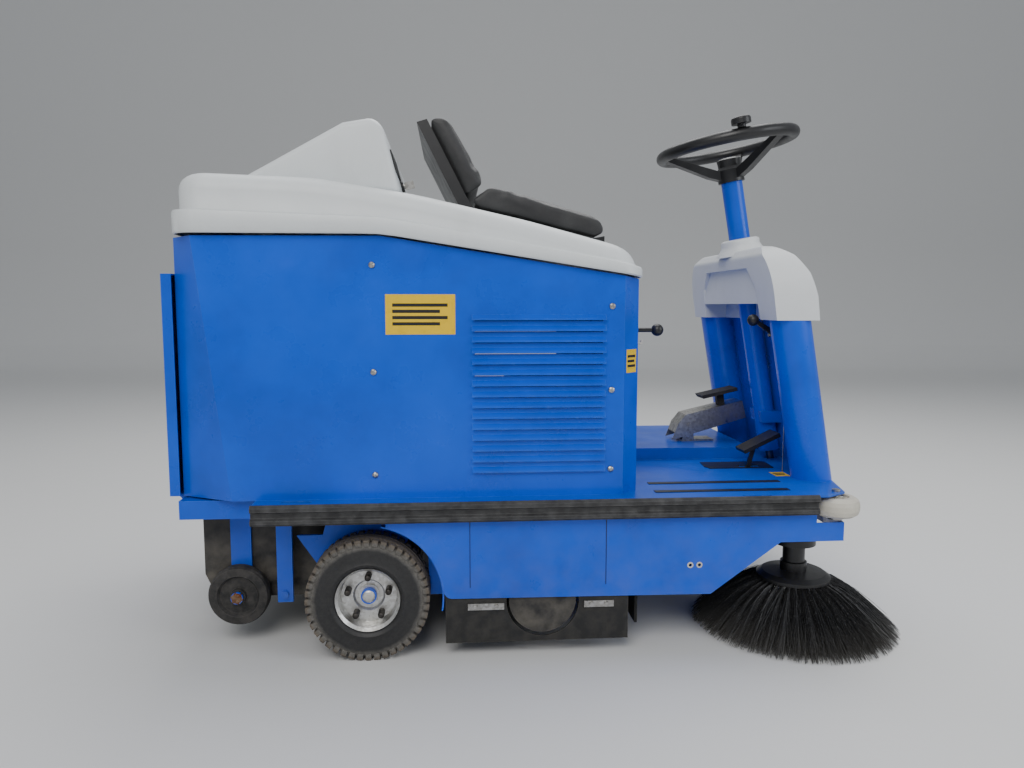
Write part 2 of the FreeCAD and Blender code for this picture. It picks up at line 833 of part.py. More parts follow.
def add_end_disc(arm, side):
    """Bearing boss and cover disc on the arm that has no belt."""
    out_low, out_high = sided(side, "arm_inner + arm_sheet", "skirt_outer - 20")
    extrude(arm, "XZ", [circle("28", "brush_x", "brush_z")], out_low, out_high)
    disc_low, disc_high = sided(side, "skirt_outer - 20", "skirt_outer - 8")
    extrude(arm, "XZ", [circle("end_disc_radius", "brush_x", "brush_z")], disc_low, disc_high)


def arm_tie():
    """Cross tube that joins the two lifting arms behind the brush."""
    tie = new_body("arm_tie")
    outline = [circle(radius, "arm_pivot_x + 45", "arm_pivot_z") for radius in ("14", "11")]
    extrude(tie, "XZ", outline, "-arm_inner", "arm_inner")
    return tie


def arm_pivot(label, side):
    """Hanger plate and pin on which a lifting arm turns."""
    hanger = new_body(label)
    low, high = sided(side, "arm_inner + arm_sheet + 2", "rail_inner + 8")
    outline = [
        ("arm_pivot_x - 22", "arm_pivot_z - 18"),
        ("arm_pivot_x + 22", "arm_pivot_z - 18"),
        ("arm_pivot_x + 30", RAIL_BOTTOM),
        ("arm_pivot_x - 30", RAIL_BOTTOM),
    ]
    extrude(hanger, "XZ", [outline], low, high)
    pin_low, pin_high = sided(side, "arm_inner - 4", "arm_inner + arm_sheet + 2")
    extrude(hanger, "XZ", [circle("8", "arm_pivot_x", "arm_pivot_z")], pin_low, pin_high)
    return hanger


def main_brush_tube():
    """Brush tube with its end hubs and shaft ends."""
    core = new_body("main_brush_tube", "brush_x", "0", "brush_z")
    outline = [
        ("-arm_inner - 25", "0"),
        ("arm_inner + 25", "0"),
        ("arm_inner + 25", "brush_shaft"),
        ("brush_half + 4", "brush_shaft"),
        ("brush_half + 4", "brush_core"),
        ("-brush_half - 4", "brush_core"),
        ("-brush_half - 4", "brush_shaft"),
        ("-arm_inner - 25", "brush_shaft"),
    ]
    spin(core, outline, "YZ", "H_Axis")
    return core


def main_brush_bristles():
    """Outer form of the bristles of the main brush."""
    bristles = new_body("main_brush_bristles", "brush_x", "0", "brush_z")
    rings = [circle("brush_radius"), circle("brush_core + gap")]
    extrude(bristles, "XZ", rings, "-brush_half", "brush_half")
    return bristles


def brush_motor():
    """Motor of the main brush, clamped to the arms' tie, with its output shaft."""
    motor = new_body("brush_motor", "arm_pivot_x + 70", "0", "arm_pivot_z + 105")
    extrude(motor, "XZ", [circle("45")], "90", "brush_half")
    extrude(motor, "XZ", [rectangle("-44", "-6", "-91", "-30")], "120", "brush_half - 30")
    extrude(motor, "XZ", [circle("8")], "brush_half", "arm_inner - 4")
    return motor


def pulley(label, radius, x, z, inner, bore):
    """Flat belt pulley with two flanges inside the left arm."""
    wheel = new_body(label, x, "0", z)
    outline = [
        (inner, bore),
        (inner, f"{radius} + 4"),
        (f"{inner} + 2", f"{radius} + 4"),
        (f"{inner} + 2", radius),
        (f"{inner} + 14", radius),
        (f"{inner} + 14", f"{radius} + 4"),
        (f"{inner} + 16", f"{radius} + 4"),
        (f"{inner} + 16", bore),
    ]
    spin(wheel, outline, "YZ", "H_Axis")
    return wheel


def belt_drive():
    """Both pulleys and the belt of the main brush, inside the left arm."""
    inner = "arm_inner - 20"
    motor_x = "arm_pivot_x + 70"
    motor_z = "arm_pivot_z + 105"
    small = pulley("motor_pulley", "motor_pulley_radius", motor_x, motor_z, inner, "8 + running")
    large = pulley("brush_pulley", "brush_pulley_radius", "brush_x", "brush_z", inner, "brush_shaft")
    return [small, large, drive_belt(inner, motor_x, motor_z)]


def drive_belt(inner, motor_x, motor_z):
    """Flat belt round both pulleys."""
    belt = new_body("drive_belt")
    low = f"{inner} + 3"
    high = f"{inner} + 13"
    pulleys = [("motor_pulley_radius", motor_x, motor_z), ("brush_pulley_radius", "brush_x", "brush_z")]
    length = f"sqrt((brush_x - ({motor_x}))^2 + (brush_z - ({motor_z}))^2)"
    along = (f"(brush_x - ({motor_x})) / {length}", f"(brush_z - ({motor_z})) / {length}")

    def runs(extra):
        ends = []
        for sign in (1, -1):
            for radius, x, z in pulleys if sign > 0 else reversed(pulleys):
                reach = f"({sign}) * ({radius} + {extra})"
                ends.append((f"{x} - {reach} * {along[1]}", f"{z} + {reach} * {along[0]}"))
        return ends

    extrude(belt, "XZ", [runs("gap + 3")], low, high)
    for radius, x, z in pulleys:
        extrude(belt, "XZ", [circle(f"{radius} + gap + 3", x, z)], low, high)
    clear(belt, "XZ", [runs("gap")], low, high)
    for radius, x, z in pulleys:
        clear(belt, "XZ", [circle(f"{radius} + gap", x, z)], low, high)
    return belt


def flap_clamps():
    """The four plated strips of the side flaps."""
    strips = []
    for side in (-1, 1):
        for rear, front in (("210", "287"), ("459", "523")):
            strips.append(flap_clamp(f"flap_clamp_{len(strips)}", side, rear, front))
    return strips


def side_flap(label, side):
    """Rubber side flap inside the skirt, notched round the brush's end disc."""
    flap = new_body(label)
    low, high = sided(side, "skirt_outer - sheet - 4", "skirt_outer - sheet")
    extrude(flap, "XZ", [rectangle("163", "555", "30", "skirt_low + 26")], low, high)
    notch = "end_disc_radius + 6"
    above = rectangle(f"brush_x - {notch}", f"brush_x + {notch}", "brush_z", "skirt_low + 30")
    clear(flap, "XZ", [circle(notch, "brush_x", "brush_z")], low, high)
    clear(flap, "XZ", [above], low, high)
    return flap


def flap_clamp(label, side, rear, front):
    """Plated strip with two bolts that holds the side flap below the skirt's edge."""
    strip = new_body(label)
    low, high = sided(side, "skirt_outer - sheet", "skirt_outer")
    extrude(strip, "XZ", [rectangle(rear, front, "skirt_low - 22", "skirt_low - 8")], low, high)
    bolt_low, bolt_high = sided(side, "skirt_outer", "skirt_outer + 4")
    for x in (f"{rear} + 16", f"{front} - 16"):
        extrude(strip, "XZ", [circle("5", x, "skirt_low - 15")], bolt_low, bolt_high)
    return strip


def brush_tunnel():
    """Steel cover over the main brush: roof, front wall and rear lip."""
    roof = new_body("tunnel_roof")
    half = "arm_inner - 8"
    outline = rectangle("brush_x - 100", "brush_x + 140", "270", "273")
    extrude(roof, "XZ", [outline], opposite(half), half)
    front = new_body("tunnel_front")
    wall = [
        ("brush_x + 140", "273"),
        ("brush_x + 140", "270"),
        ("brush_x + 152", "150"),
        ("brush_x + 155", "150"),
        ("brush_x + 155", "273"),
    ]
    extrude(front, "XZ", [wall], opposite(half), half)
    hangers = []
    for index, x in enumerate(("brush_x - 60", "brush_x + 60")):
        hanger = new_body(f"tunnel_hanger_{index}")
        extrude(hanger, "XZ", [rectangle(x, f"{x} + 20", "273", DECK_BOTTOM)], "-60", "60")
        hangers.append(hanger)
    return [roof, front] + hangers


def front_flap():
    """Hinged rubber flap in front of the main brush, on its shaft."""
    flap = new_body("front_flap", "flap_x", "0", "flap_z")
    half = "arm_inner - 10"
    extrude(flap, "XZ", [rectangle("-3", "3", "14 - flap_z", "0")], opposite(half), half)
    extrude(flap, "XZ", [circle("9")], opposite(half), half)
    extrude(flap, "XZ", [circle("6")], "-rail_inner + 1", "rail_inner - 1")
    return flap


def flap_bearing(label, side):
    """Drop bracket with the bore for the front flap's shaft."""
    bracket = new_body(label)
    low, high = sided(side, "arm_inner - 6", "rail_inner + 2")
    outline = rectangle("flap_x - 14", "flap_x + 14", "flap_z - 16", RAIL_BOTTOM)
    extrude(bracket, "XZ", [outline], low, high)
    clear(bracket, "XZ", [circle("6 + running", "flap_x", "flap_z")], low, high)
    return bracket


def side_brush_arm():
    """Swinging arm that carries the side brush's motor under the deck."""
    arm = new_body("side_brush_arm", "0", "side_y")
    bar = [
        ("side_pivot_x - 22", "side_pivot_z - 12"),
        ("side_x - 52", "238"),
        ("side_x + 40", "238"),
        ("side_x + 40", "246"),
        ("side_pivot_x + 60", "side_pivot_z + 12"),
        ("side_pivot_x - 22", "side_pivot_z + 12"),
    ]
    extrude(arm, "XZ", [bar], "-24", "24")
    ear_y = "cable_y - side_y"
    extrude(arm, "XY", [rectangle("cable_x - 14", "cable_x + 14", "24", f"{ear_y} + 12")], "240", "246")
    clear(arm, "XY", [circle("cable_radius + 3", "cable_x", ear_y)], "240", "246")
    clear(arm, "XZ", [circle("8 + running", "side_pivot_x", "side_pivot_z")], "-24", "24")
    return arm


def side_brush_motor():
    """Black motor housing hanging from the arm, bored for the brush's shaft."""
    motor = new_body("side_brush_motor", "side_x", "side_y")
    outline = [
        ("side_shaft + running", "side_disc_z + 32"),
        ("25", "side_disc_z + 32"),
        ("25", "185"),
        ("48", "192"),
        ("48", "238"),
        ("side_shaft + running", "238"),
    ]
    spin(motor, outline)
    return motor


def side_brush_pivot():
    """Bracket and pin below the deck on which the side brush's arm swings."""
    cheeks = []
    for index, (low, high) in enumerate((("-34", "-26"), ("26", "34"))):
        cheek = new_body(f"side_cheek_{index}", "0", "side_y")
        outline = rectangle("side_pivot_x - 20", "side_pivot_x + 20", "side_pivot_z - 16", DECK_BOTTOM)
        extrude(cheek, "XZ", [outline], low, high)
        clear(cheek, "XZ", [circle("8", "side_pivot_x", "side_pivot_z")], low, high)
        cheeks.append(cheek)
    pin = new_body("side_pin", "0", "side_y")
    extrude(pin, "XZ", [circle("8", "side_pivot_x", "side_pivot_z")], "-36", "36")
    return cheeks + [pin]


def side_brush_disc():
    """Disc and shaft of the side brush."""
    disc = new_body("side_brush_disc", "side_x", "side_y")
    outline = [
        ("0", "side_disc_z - 8"),
        ("side_disc", "side_disc_z - 8"),
        ("side_disc", "side_disc_z"),
        ("side_disc - 12", "side_disc_z + 8"),
        ("30", "side_disc_z + 12"),
        ("30", "side_disc_z + 31"),
        ("side_shaft", "side_disc_z + 31"),
        ("side_shaft", "228"),
        ("0", "228"),
    ]
    spin(disc, outline)
    return disc


def side_brush_bristles():
    """Outer form of the spread bristles of the side brush."""
    bristles = new_body("side_brush_bristles", "side_x", "side_y")
    outline = [
        ("side_disc - 30", "side_disc_z - 8"),
        ("side_disc", "side_disc_z - 8"),
        ("side_reach - 60", "62"),
        ("side_reach", "4"),
        ("side_reach - 8", "2"),
        ("side_reach - 60", "2"),
        ("side_reach - 110", "40"),
    ]
    spin(bristles, outline)
    return bristles


# ---------------------------------------------------------------- hopper


def hopper_bin():
    """Open-topped steel dust bin with a low front lip."""
    bin_body = new_body("hopper_bin")
    outer = [
        ("bin_rear_top", "bin_top"),
        ("bin_rear_top", "150"),
        ("bin_rear_low + 14", "bin_floor"),
        ("bin_front", "bin_floor"),
        ("bin_front", "bin_top"),
    ]
    extrude(bin_body, "XZ", [outer], "-bin_half", "bin_half")
    inner = [
        ("bin_rear_top + sheet", "bin_top + 5"),
        ("bin_rear_top + sheet", "151"),
        ("bin_rear_low + 15", "bin_floor + sheet"),
        ("bin_front - sheet", "bin_floor + sheet"),
        ("bin_front - sheet", "bin_top + 5"),
    ]
    clear(bin_body, "XZ", [inner], "-bin_half + sheet", "bin_half - sheet")
    mouth = rectangle("-bin_half + 20", "bin_half - 20", "145", "278")
    clear(bin_body, "YZ", [mouth], "bin_front - 10", "bin_front + 5")
    return bin_body


def hopper_runner(label, side):
    """Flat bar on the bin's side that slides on the frame's guide."""
    bar = new_body(label)
    low, high = sided(side, "bin_half", "rail_inner - 4")
    outline = rectangle("bin_rear_top", "bin_front", low, high)
    bottom = f"{RAIL_BOTTOM} + guide_height + gap + 4"
    extrude(bar, "XY", [outline], bottom, f"{bottom} + 6")
    return bar


def hopper_guide(label, side):
    """Ledge on the rail's inner face that carries the hopper's runner."""
    bar = new_body(label)
    low, high = sided(side, "guide_inner", "rail_inner")
    bottom = f"{RAIL_BOTTOM} + 4"
    outline = rectangle("body_rear", "arm_pivot_x - 40", low, high)
    extrude(bar, "XY", [outline], bottom, f"{bottom} + guide_height")
    return bar


def hopper_leg(label, side):
    """Flat leg on the bin's side, with the small wheel's axle."""
    leg = new_body(label)
    low, high = sided(side, "bin_half", "bin_half + 8")
    outline = rectangle("small_wheel_x - 22", "small_wheel_x + 22", "small_wheel_z - 22", "296")
    extrude(leg, "XZ", [outline], low, high)
    pin_low, pin_high = sided(side, "bin_half + 8", "small_wheel_inner + small_wheel_width + 4")
    extrude(leg, "XZ", [circle("small_axle", "small_wheel_x", "small_wheel_z")], pin_low, pin_high)
    head_low, head_high = sided(
        side, "small_wheel_inner + small_wheel_width + 4", "small_wheel_inner + small_wheel_width + 10"
    )
    extrude(leg, "XZ", [circle("small_axle + 5", "small_wheel_x", "small_wheel_z")], head_low, head_high)
    return leg


def small_wheel(label, side):
    """Rubber-tyred transport wheel of the hopper."""
    middle = "small_wheel_inner + small_wheel_width / 2"
    wheel = new_body(label, "small_wheel_x", across(side, middle), "small_wheel_z")
    half = "small_wheel_width / 2"
    outline = [
        (f"-{half} - 2", "small_axle + running"),
        (f"{half} + 2", "small_axle + running"),
        (f"{half} + 2", "small_axle + 8"),
        (f"{half} - 8", "small_axle + 10"),
        (f"{half} - 8", "small_wheel_radius - 26"),
        (half, "small_wheel_radius - 20"),
        (f"{half} - 2", "small_wheel_radius - 4"),
        (f"{half} - 9", "small_wheel_radius"),
        (f"-{half} + 9", "small_wheel_radius"),
        (f"-{half} + 2", "small_wheel_radius - 4"),
        (opposite(half), "small_wheel_radius - 20"),
        (f"-{half} + 8", "small_wheel_radius - 26"),
        (f"-{half} + 8", "small_axle + 10"),
        (f"-{half} - 2", "small_axle + 8"),
    ]
    spin(wheel, outline, "YZ", "H_Axis")
    return wheel


def hopper_door():
    """Flanged rear plate of the hopper with its foot at the bottom."""
    door = new_body("hopper_door")
    outline = rectangle("-door_half", "door_half", "door_bottom", "door_top")
    extrude(door, "YZ", [outline], "door_rear", "door_rear + sheet")
    for low, high in (("-door_half", "-door_half + sheet"), ("door_half - sheet", "door_half")):
        edge = rectangle(low, high, "door_bottom", "door_top")
        extrude(door, "YZ", [edge], "door_rear + sheet", "door_front")
    for low, high in (("door_top - sheet", "door_top"), ("door_bottom", "door_bottom + sheet")):
        edge = rectangle("-door_half + sheet", "door_half - sheet", low, high)
        extrude(door, "YZ", [edge], "door_rear + sheet", "door_front")
    hand_hole = rectangle("-handle_half", "handle_half", "handle_z - 36", "handle_z + 36")
    clear(door, "YZ", [hand_hole], "door_rear", "door_rear + sheet")
    foot = [
        ("door_rear - 9", "door_bottom - 6"),
        ("body_rear + 4", "297"),
        ("body_rear + 12", "297"),
        ("door_rear + sheet", "door_bottom"),
        ("door_rear - 9", "door_bottom"),
    ]
    extrude(door, "XZ", [foot], "-bin_half", "bin_half")
    return door


def hopper_ties():
    """Square tubes that join the door to the bin's rear wall."""
    ties = []
    for index, y in enumerate(("-150", "150")):
        tie = new_body(f"hopper_tie_{index}")
        outline = rectangle(f"{y} - 20", f"{y} + 20", "420", "460")
        extrude(tie, "YZ", [outline], "door_rear + sheet", "bin_rear_top")
        ties.append(tie)
    return ties


def hopper_handle():
    """Grab bar across the opening in the hopper's door."""
    bar = new_body("hopper_handle")
    grip = circle("handle_radius", "(door_rear + door_front) / 2", "handle_z")
    extrude(bar, "XZ", [grip], "-handle_half - 14", "handle_half + 14")
    middle = "(door_rear + door_front) / 2"
    for side in (-1, 1):
        stem = rectangle("door_rear + sheet", middle, "handle_z - 6", "handle_z + 6")
        extrude(bar, "XZ", [stem], *sided(side, "handle_half + 2", "handle_half + 14"))
    return bar


# ---------------------------------------------------------------- power and suction


def battery_blocks():
    """Two battery blocks with lids on the battery deck."""
    blocks = []
    for index, (low, high) in enumerate((("-262", "-4"), ("4", "262"))):
        block = new_body(f"battery_{index}")
        extrude(block, "XY", [rectangle("330", "545", low, high)], "deck_top - 1", "deck_top + 205")
        lid = rectangle("333", "542", f"{low} + 3", f"{high} - 3")
        extrude(block, "XY", [lid], "deck_top + 205", "deck_top + 222")
        blocks.append(block)
    return blocks


def controller_box():
    """Drive controller beside the battery."""
    box = new_body("controller_box")
    extrude(box, "XY", [rectangle("170", "300", "-280", "-120")], "deck_top - 1", "deck_top + 80")
    return box


def filter_box():
    """Box above the hopper that holds the panel filter, fastened to the side panels."""
    housing = new_body("filter_box")
    outer = rectangle("-265", "115", "590", "720")
    inner = rectangle("-262", "112", "593", "717")
    extrude(housing, "XZ", [outer, inner], "-body_half + sheet", "body_half - sheet")
    return housing


def filter_panel():
    """Pleated filter panel inside its housing."""
    panel = new_body("filter_panel")
    extrude(panel, "XZ", [rectangle("-262", "112", "593", "700")], "-body_half + 25", "body_half - 25")
    return panel


def fan_housing():
    """Round suction fan housing on the filter box, with its motor in front."""
    housing = new_body("fan_housing", "115", "0", "655")
    extrude(housing, "YZ", [circle("60")], "0", "4")
    extrude(housing, "YZ", [circle("60"), circle("56")], "4", "50")
    extrude(housing, "YZ", [circle("60"), circle("6 + running")], "50", "54")
    extrude(housing, "YZ", [circle("38"), circle("6 + running")], "54", "110")
    return housing


def fan_impeller():
    """Impeller with its shaft, turning inside the fan housing."""
    impeller = new_body("fan_impeller", "115", "0", "655")
    outline = [("8", "0"), ("8", "20"), ("12", "52"), ("42", "52"), ("42", "6"), ("100", "6"), ("100", "0")]
    spin(impeller, [(y, z) for y, z in outline], "XZ", "H_Axis")
    return impeller


# ---------------------------------------------------------------- hood, console and seat

HOOD_TOP = [("-344", "1015"), ("-96", "1007"), ("111", "974"), ("338", "924"), ("552", "866")]


def hood_moulding():
    """Moulded hood: an overhanging lip, a stepped upper part and a sloping seat deck."""
    hood = new_body("hood_moulding")
    lip = [
        ("hood_rear", "body_top + 5"),
        ("kink_x + 4", "body_top + 5"),
        ("hood_front", "body_front_top + 2"),
        ("hood_front", "826"),
        ("296", "879"),
        ("46", "923"),
        ("hood_rear", "938"),
    ]
    extrude(hood, "XZ", [lip], "-hood_half", "hood_half")
    upper = [
        ("hood_rear + 12", "930"),
        ("hood_rear + 18", "1000"),
        *HOOD_TOP,
        ("hood_front - 16", "852"),
        ("hood_front - 10", "820"),
        ("296", "860"),
        ("46", "905"),
    ]
    extrude(hood, "XZ", [upper], "-hood_step_half", "hood_step_half")
    soften(hood, "34", lambda e: rises(e) and abs(e.BoundBox.Center.y) > 370 and e.BoundBox.ZLength > 20)
    inner = [
        ("hood_rear + 12 + hood_wall", "body_top - 5"),
        ("hood_rear + 12 + hood_wall", "930"),
        ("hood_rear + 18 + hood_wall", "1000"),
        ("-340", "1015 - hood_wall"),
        ("-97", "1007 - hood_wall"),
        ("110", "974 - hood_wall"),
        ("337", "924 - hood_wall"),
        ("550", "866 - hood_wall"),
        ("hood_front - 16 - hood_wall", "850"),
        ("hood_front - 12 - hood_wall", "body_front_top - 12"),
        ("kink_x", "body_top - 5"),
    ]
    clear(hood, "XZ", [inner], "-hood_step_half + hood_wall + 6", "hood_step_half - hood_wall - 6")
    return hood


def rises(edge):
    """Whether a straight edge runs mostly upwards."""
    if not isinstance(edge.Curve, Part.Line):
        return False
    return abs(edge.Curve.Direction.z) > 0.8


def console_hump():
    """Wedge-shaped console moulding behind the seat, hollow from below."""
    hump = new_body("console_hump")
    top = [("-261", "1012.4"), ("-43", "1125"), ("17", "1137"), ("40", "1120")]
    outline = top + [("76", "979.7"), ("-96", "1007.1")]
    extrude(hump, "XZ", [outline], "-console_half", "console_half")
    soften(hump, "16", lambda e: rises(e) and abs(e.BoundBox.Center.y) > 300 and e.BoundBox.XMin > 30)
    roof = [("-240", "1005"), ("-42", "1119"), ("14", "1131"), ("34", "1117")]
    inner = roof + [("68", "975"), ("-96", "990")]
    clear(hump, "XZ", [inner], "-console_half + 5", "console_half - 5")
    return hump


def console_panel():
    """Black switch panel on the console's sloping front face."""
    panel = new_body("console_panel", "58", "-215", "1050", "-face_lean")
    extrude(panel, "YZ", [rectangle("-85", "85", "-19", "24")], "0.1", "3.1")
    return panel


def key_switch():
    """Round key switch barrel on the console's face."""
    barrel = new_body("key_switch", "66.2", "-150", "1017.5", "-face_lean")
    extrude(barrel, "YZ", [circle("13")], "0.1", "6")
    clear(barrel, "YZ", [circle("6")], "3", "6")
    return barrel


def ignition_key():
    """Key with a flat bow that turns in the switch."""
    key = new_body("ignition_key", "66.2", "-150", "1017.5", "-face_lean")
    extrude(key, "YZ", [circle("5.9")], "3.2", "9")
    extrude(key, "XZ", [rectangle("9", "30", "-9", "9")], "-1.5", "1.5")
    return key


def seat_back():
    """Backrest cushion."""
    cushion = new_body("seat_back")
    outline = [("129", "1157"), ("150", "1166"), ("172", "1160"), ("258", "1016"), ("216", "988")]
    extrude(cushion, "XZ", [outline], "-seat_half", "seat_half")
    return cushion


def seat_base():
    """Seat cushion with a rounded front edge."""
    cushion = new_body("seat_base")
    outline = [
        ("221.5", "981"),
        ("262", "1012"),
        ("300", "1006"),
        ("500", "948"),
        ("524", "940"),
        ("534", "922"),
        ("530", "904"),
        ("508", "900"),
        ("233.5", "964"),
    ]
    extrude(cushion, "XZ", [outline], "-seat_half", "seat_half")
    return cushion


def seat_pan():
    """Black pan behind the backrest and under the seat cushion."""
    pan = new_body("seat_pan")
    outline = [
        ("106", "1150"),
        ("128.5", "1157"),
        ("215.5", "988"),
        ("232", "963.5"),
        ("508", "899.5"),
        ("530", "903.5"),
        ("530", "890"),
        ("512", "885.5"),
        ("224", "951.5"),
        ("196", "972"),
    ]
    extrude(pan, "XZ", [outline], "-seat_half + 12", "seat_half - 12")
    return pan


def seat_mount(label, y):
    """Rail between the seat pan and the hood's sloping deck."""
    rail = new_body(label)
    top = [("250", "945.5"), ("480", "892.8")]
    outline = top + [("480", "885.6"), ("338", "924.1"), ("250", "943.5")]
    extrude(rail, "XZ", [outline], y, f"{y} + 40")
    return rail


def hinge_leaf(label, y):
    """Hinge half on the body: pin and lower leaf."""
    leaf = new_body(label, "hinge_x", y, "hinge_z")
    extrude(leaf, "XZ", [circle("hinge_pin")], "-30", "30")
    extrude(leaf, "XZ", [circle("hinge_pin + 3")], "-30", "-10")
    extrude(leaf, "XZ", [rectangle("4.5", "7.5", "-40", "0")], "-30", "-10")
    return leaf


def hinge_knuckle(label, y):
    """Hinge half on the hood: bored knuckle and upper leaf."""
    knuckle = new_body(label, "hinge_x", y, "hinge_z")
    extrude(knuckle, "XZ", [circle("hinge_pin + 3")], "-9.7", "30")
    extrude(knuckle, "XZ", [rectangle("0", "hood_rear - hinge_x", "6.2", "36")], "-9.7", "30")
    extrude(knuckle, "XZ", [rectangle("-2", "5", "2", "10")], "-9.7", "30")
    clear(knuckle, "XZ", [circle("hinge_pin + running")], "-10", "31")
    return knuckle


# ---------------------------------------------------------------- column and steering


def column_tube(label, side):
    """Leaning round tube of the front column, cut level at both ends."""
    tube = new_body(label)
    y = across(side, "column_y")
    foot = draw(tube, "XY", [circle("column_radius", "column_foot_x", y)], "deck_top")
    head = draw(tube, "XY", [circle("column_radius", "column_top_x", y)], "column_top")
    loft = tube.newObject("PartDesign::AdditiveLoft", f"{label}_loft")
    loft.Profile = foot
    loft.Sections = [head]
    loft.Ruled = True
    doc.recompute()
    inner = "column_radius - sheet"
    low = draw(tube, "XY", [circle(inner, "column_foot_x", y)], "deck_top")
    high = draw(tube, "XY", [circle(inner, "column_top_x", y)], "column_top")
    bore = tube.newObject("PartDesign::SubtractiveLoft", f"{label}_bore")
    bore.Profile = low
    bore.Sections = [high]
    bore.Ruled = True
    doc.recompute()
    return tube


def column_wall():
    """Leaning sheet between the two tubes, in front of the steering shaft."""
    wall = new_body("column_wall")
    chord = "sqrt(column_radius * column_radius - wall_set * wall_set)"
    outline = [
        ("column_foot_x + wall_set", "deck_top"),
        ("column_foot_x + wall_set + sheet", "deck_top"),
        ("column_top_x + wall_set + sheet", "column_top"),
        ("column_top_x + wall_set", "column_top"),
    ]
    half = f"column_y - {chord}"
    extrude(wall, "XZ", [outline], opposite(half), half)
    return wall


def dash_cap():
    """Moulded cap over both tubes, with a collar, a recess behind and a steering hole."""
    side_form = new_body("cap_side_form")
    profile = [
        ("column_top_x - 50", "column_top"),
        ("column_top_x + 50", "column_top"),
        ("column_top_x + 44", "765"),
        ("column_top_x + 28", "820"),
        ("column_top_x + 4", "862"),
        ("column_top_x - 28", "884"),
        ("column_top_x - 58", "884"),
        ("column_top_x - 72", "862"),
    ]
    extrude(side_form, "XZ", [profile], "-cap_half", "cap_half")
    soften(side_form, "14", lambda e: is_along(e, V(0, 1, 0)) and e.BoundBox.ZMin > 800)
    front_form = new_body("cap_front_form")
    outline = rectangle("-cap_half", "cap_half", "column_top", "886")
    extrude(front_form, "YZ", [outline], "column_top_x - 100", "column_top_x + 80")
    soften(front_form, "115", lambda e: is_along(e, V(1, 0, 0)) and e.BoundBox.ZMin > 800)
    arched = combine("Part::Common", "cap_arched", side_form, front_form)
    recess = new_body("cap_recess")
    arch = [
        ("-cap_mouth", "column_top - 5"),
        ("cap_mouth", "column_top - 5"),
        ("cap_mouth - 12", "790"),
        ("cap_mouth - 52", "836"),
        ("-cap_mouth + 52", "836"),
        ("-cap_mouth + 12", "790"),
    ]
    extrude(recess, "YZ", [arch], "column_top_x - 110", "column_top_x + 8")
    hollow = combine("Part::Cut", "cap_hollow", arched, recess)
    collar = steering_body("cap_collar")
    extrude(collar, "XY", [circle("44")], "-285", "-246")
    collared = doc.addObject("Part::Fuse", "cap_collared")
    collared.Base = hollow
    collared.Tool = collar
    hole = steering_body("cap_hole")
    extrude(hole, "XY", [circle("steer_tube + gap")], "-500", "-200")
    return combine("Part::Cut", "dash_cap", collared, hole)


def combine(kind, label, base, tool):
    """Cut, or keep what is common to, two objects."""
    result = doc.addObject(kind, label)
    result.Label = label
    result.Base = base
    result.Tool = tool
    doc.recompute()
    return result


def dash_panel():
    """Dark sheet that closes the cap's rear recess, above the leg room."""
    panel = new_body("dash_panel")
    outline = [
        ("-cap_mouth + 8", "750"),
        ("cap_mouth - 8", "750"),
        ("cap_mouth - 12.5", "790"),
        ("cap_mouth - 52.5", "836"),
        ("-cap_mouth + 52.5", "836"),
        ("-cap_mouth + 12.5", "790"),
    ]
    extrude(panel, "YZ", [outline], "column_top_x - 56", "column_top_x - 53")
    return panel


def steering_body(label):
    """A body whose own Z axis is the leaning steering axis, with its origin at the wheel's centre."""
    return new_body(label, "steer_x", "0", "steer_z", "-column_lean")


def steering_tube():
    """Painted tube with a bush at each end for the steering shaft, from the wheel down to the deck."""
    tube = steering_body("steering_tube")
    extrude(tube, "XY", [circle("steer_tube"), circle("steer_tube - 4")], "-800", "-92")
    for low, high in (("-112", "-92"), ("-800", "-780")):
        extrude(tube, "XY", [circle("steer_tube - 3.5"), circle("steer_shaft + running")], low, high)
    return tube


def steering_bracket():
    """Saddle that ties the foot of the steering tube to the column wall."""
    saddle = new_body("saddle_block")
    outline = [("990", "440"), (wall_x("440"), "440"), (wall_x("470"), "470"), ("985", "470")]
    extrude(saddle, "XZ", [outline], "-38", "38")
    bore = steering_body("saddle_bore")
    extrude(bore, "XY", [circle("steer_tube + running")], "-800", "-600")
    return combine("Part::Cut", "steering_bracket", saddle, bore)


def wall_x(z):
    """Where the column wall's rear face lies at a height."""
    slope = "(column_foot_x - column_top_x) / (column_top - deck_top)"
    return f"column_top_x + wall_set + (column_top - ({z})) * {slope}"


def steering_shaft():
    """Shaft from the wheel's hub to below the deck."""
    shaft = steering_body("steering_shaft")
    extrude(shaft, "XY", [circle("steer_shaft")], "-838", "-60")
    return shaft


def wheel_ring():
    """Wheel with a round rim, three dropped spokes and a deep hub."""
    wheel = steering_body("wheel_ring")
    hub = [
        ("steer_shaft", "-91.5"),
        ("33", "-91.5"),
        ("33", "-60"),
        ("28", "-52"),
        ("30", "-34"),
        ("22", "-30"),
        ("steer_shaft", "-30"),
    ]
    spin(wheel, hub)
    ring = draw(wheel, "XZ", [circle("rim_grip", "rim_ring", "0")])
    rim = wheel.newObject("PartDesign::Revolution", "steering_rim")
    rim.Profile = ring
    rim.ReferenceAxis = (ring, ["V_Axis"])
    rim.Angle = 360
    doc.recompute()
    upper = [("-26", "-86"), ("-28", "-62"), ("8 - rim_ring", "-4")]
    spoke = upper + [("-rim_ring - 2", "-12"), ("-60", "-72")]
    arm = extrude(wheel, "XZ", [spoke], "-13", "13")
    around(wheel, arm, 3)
    return wheel


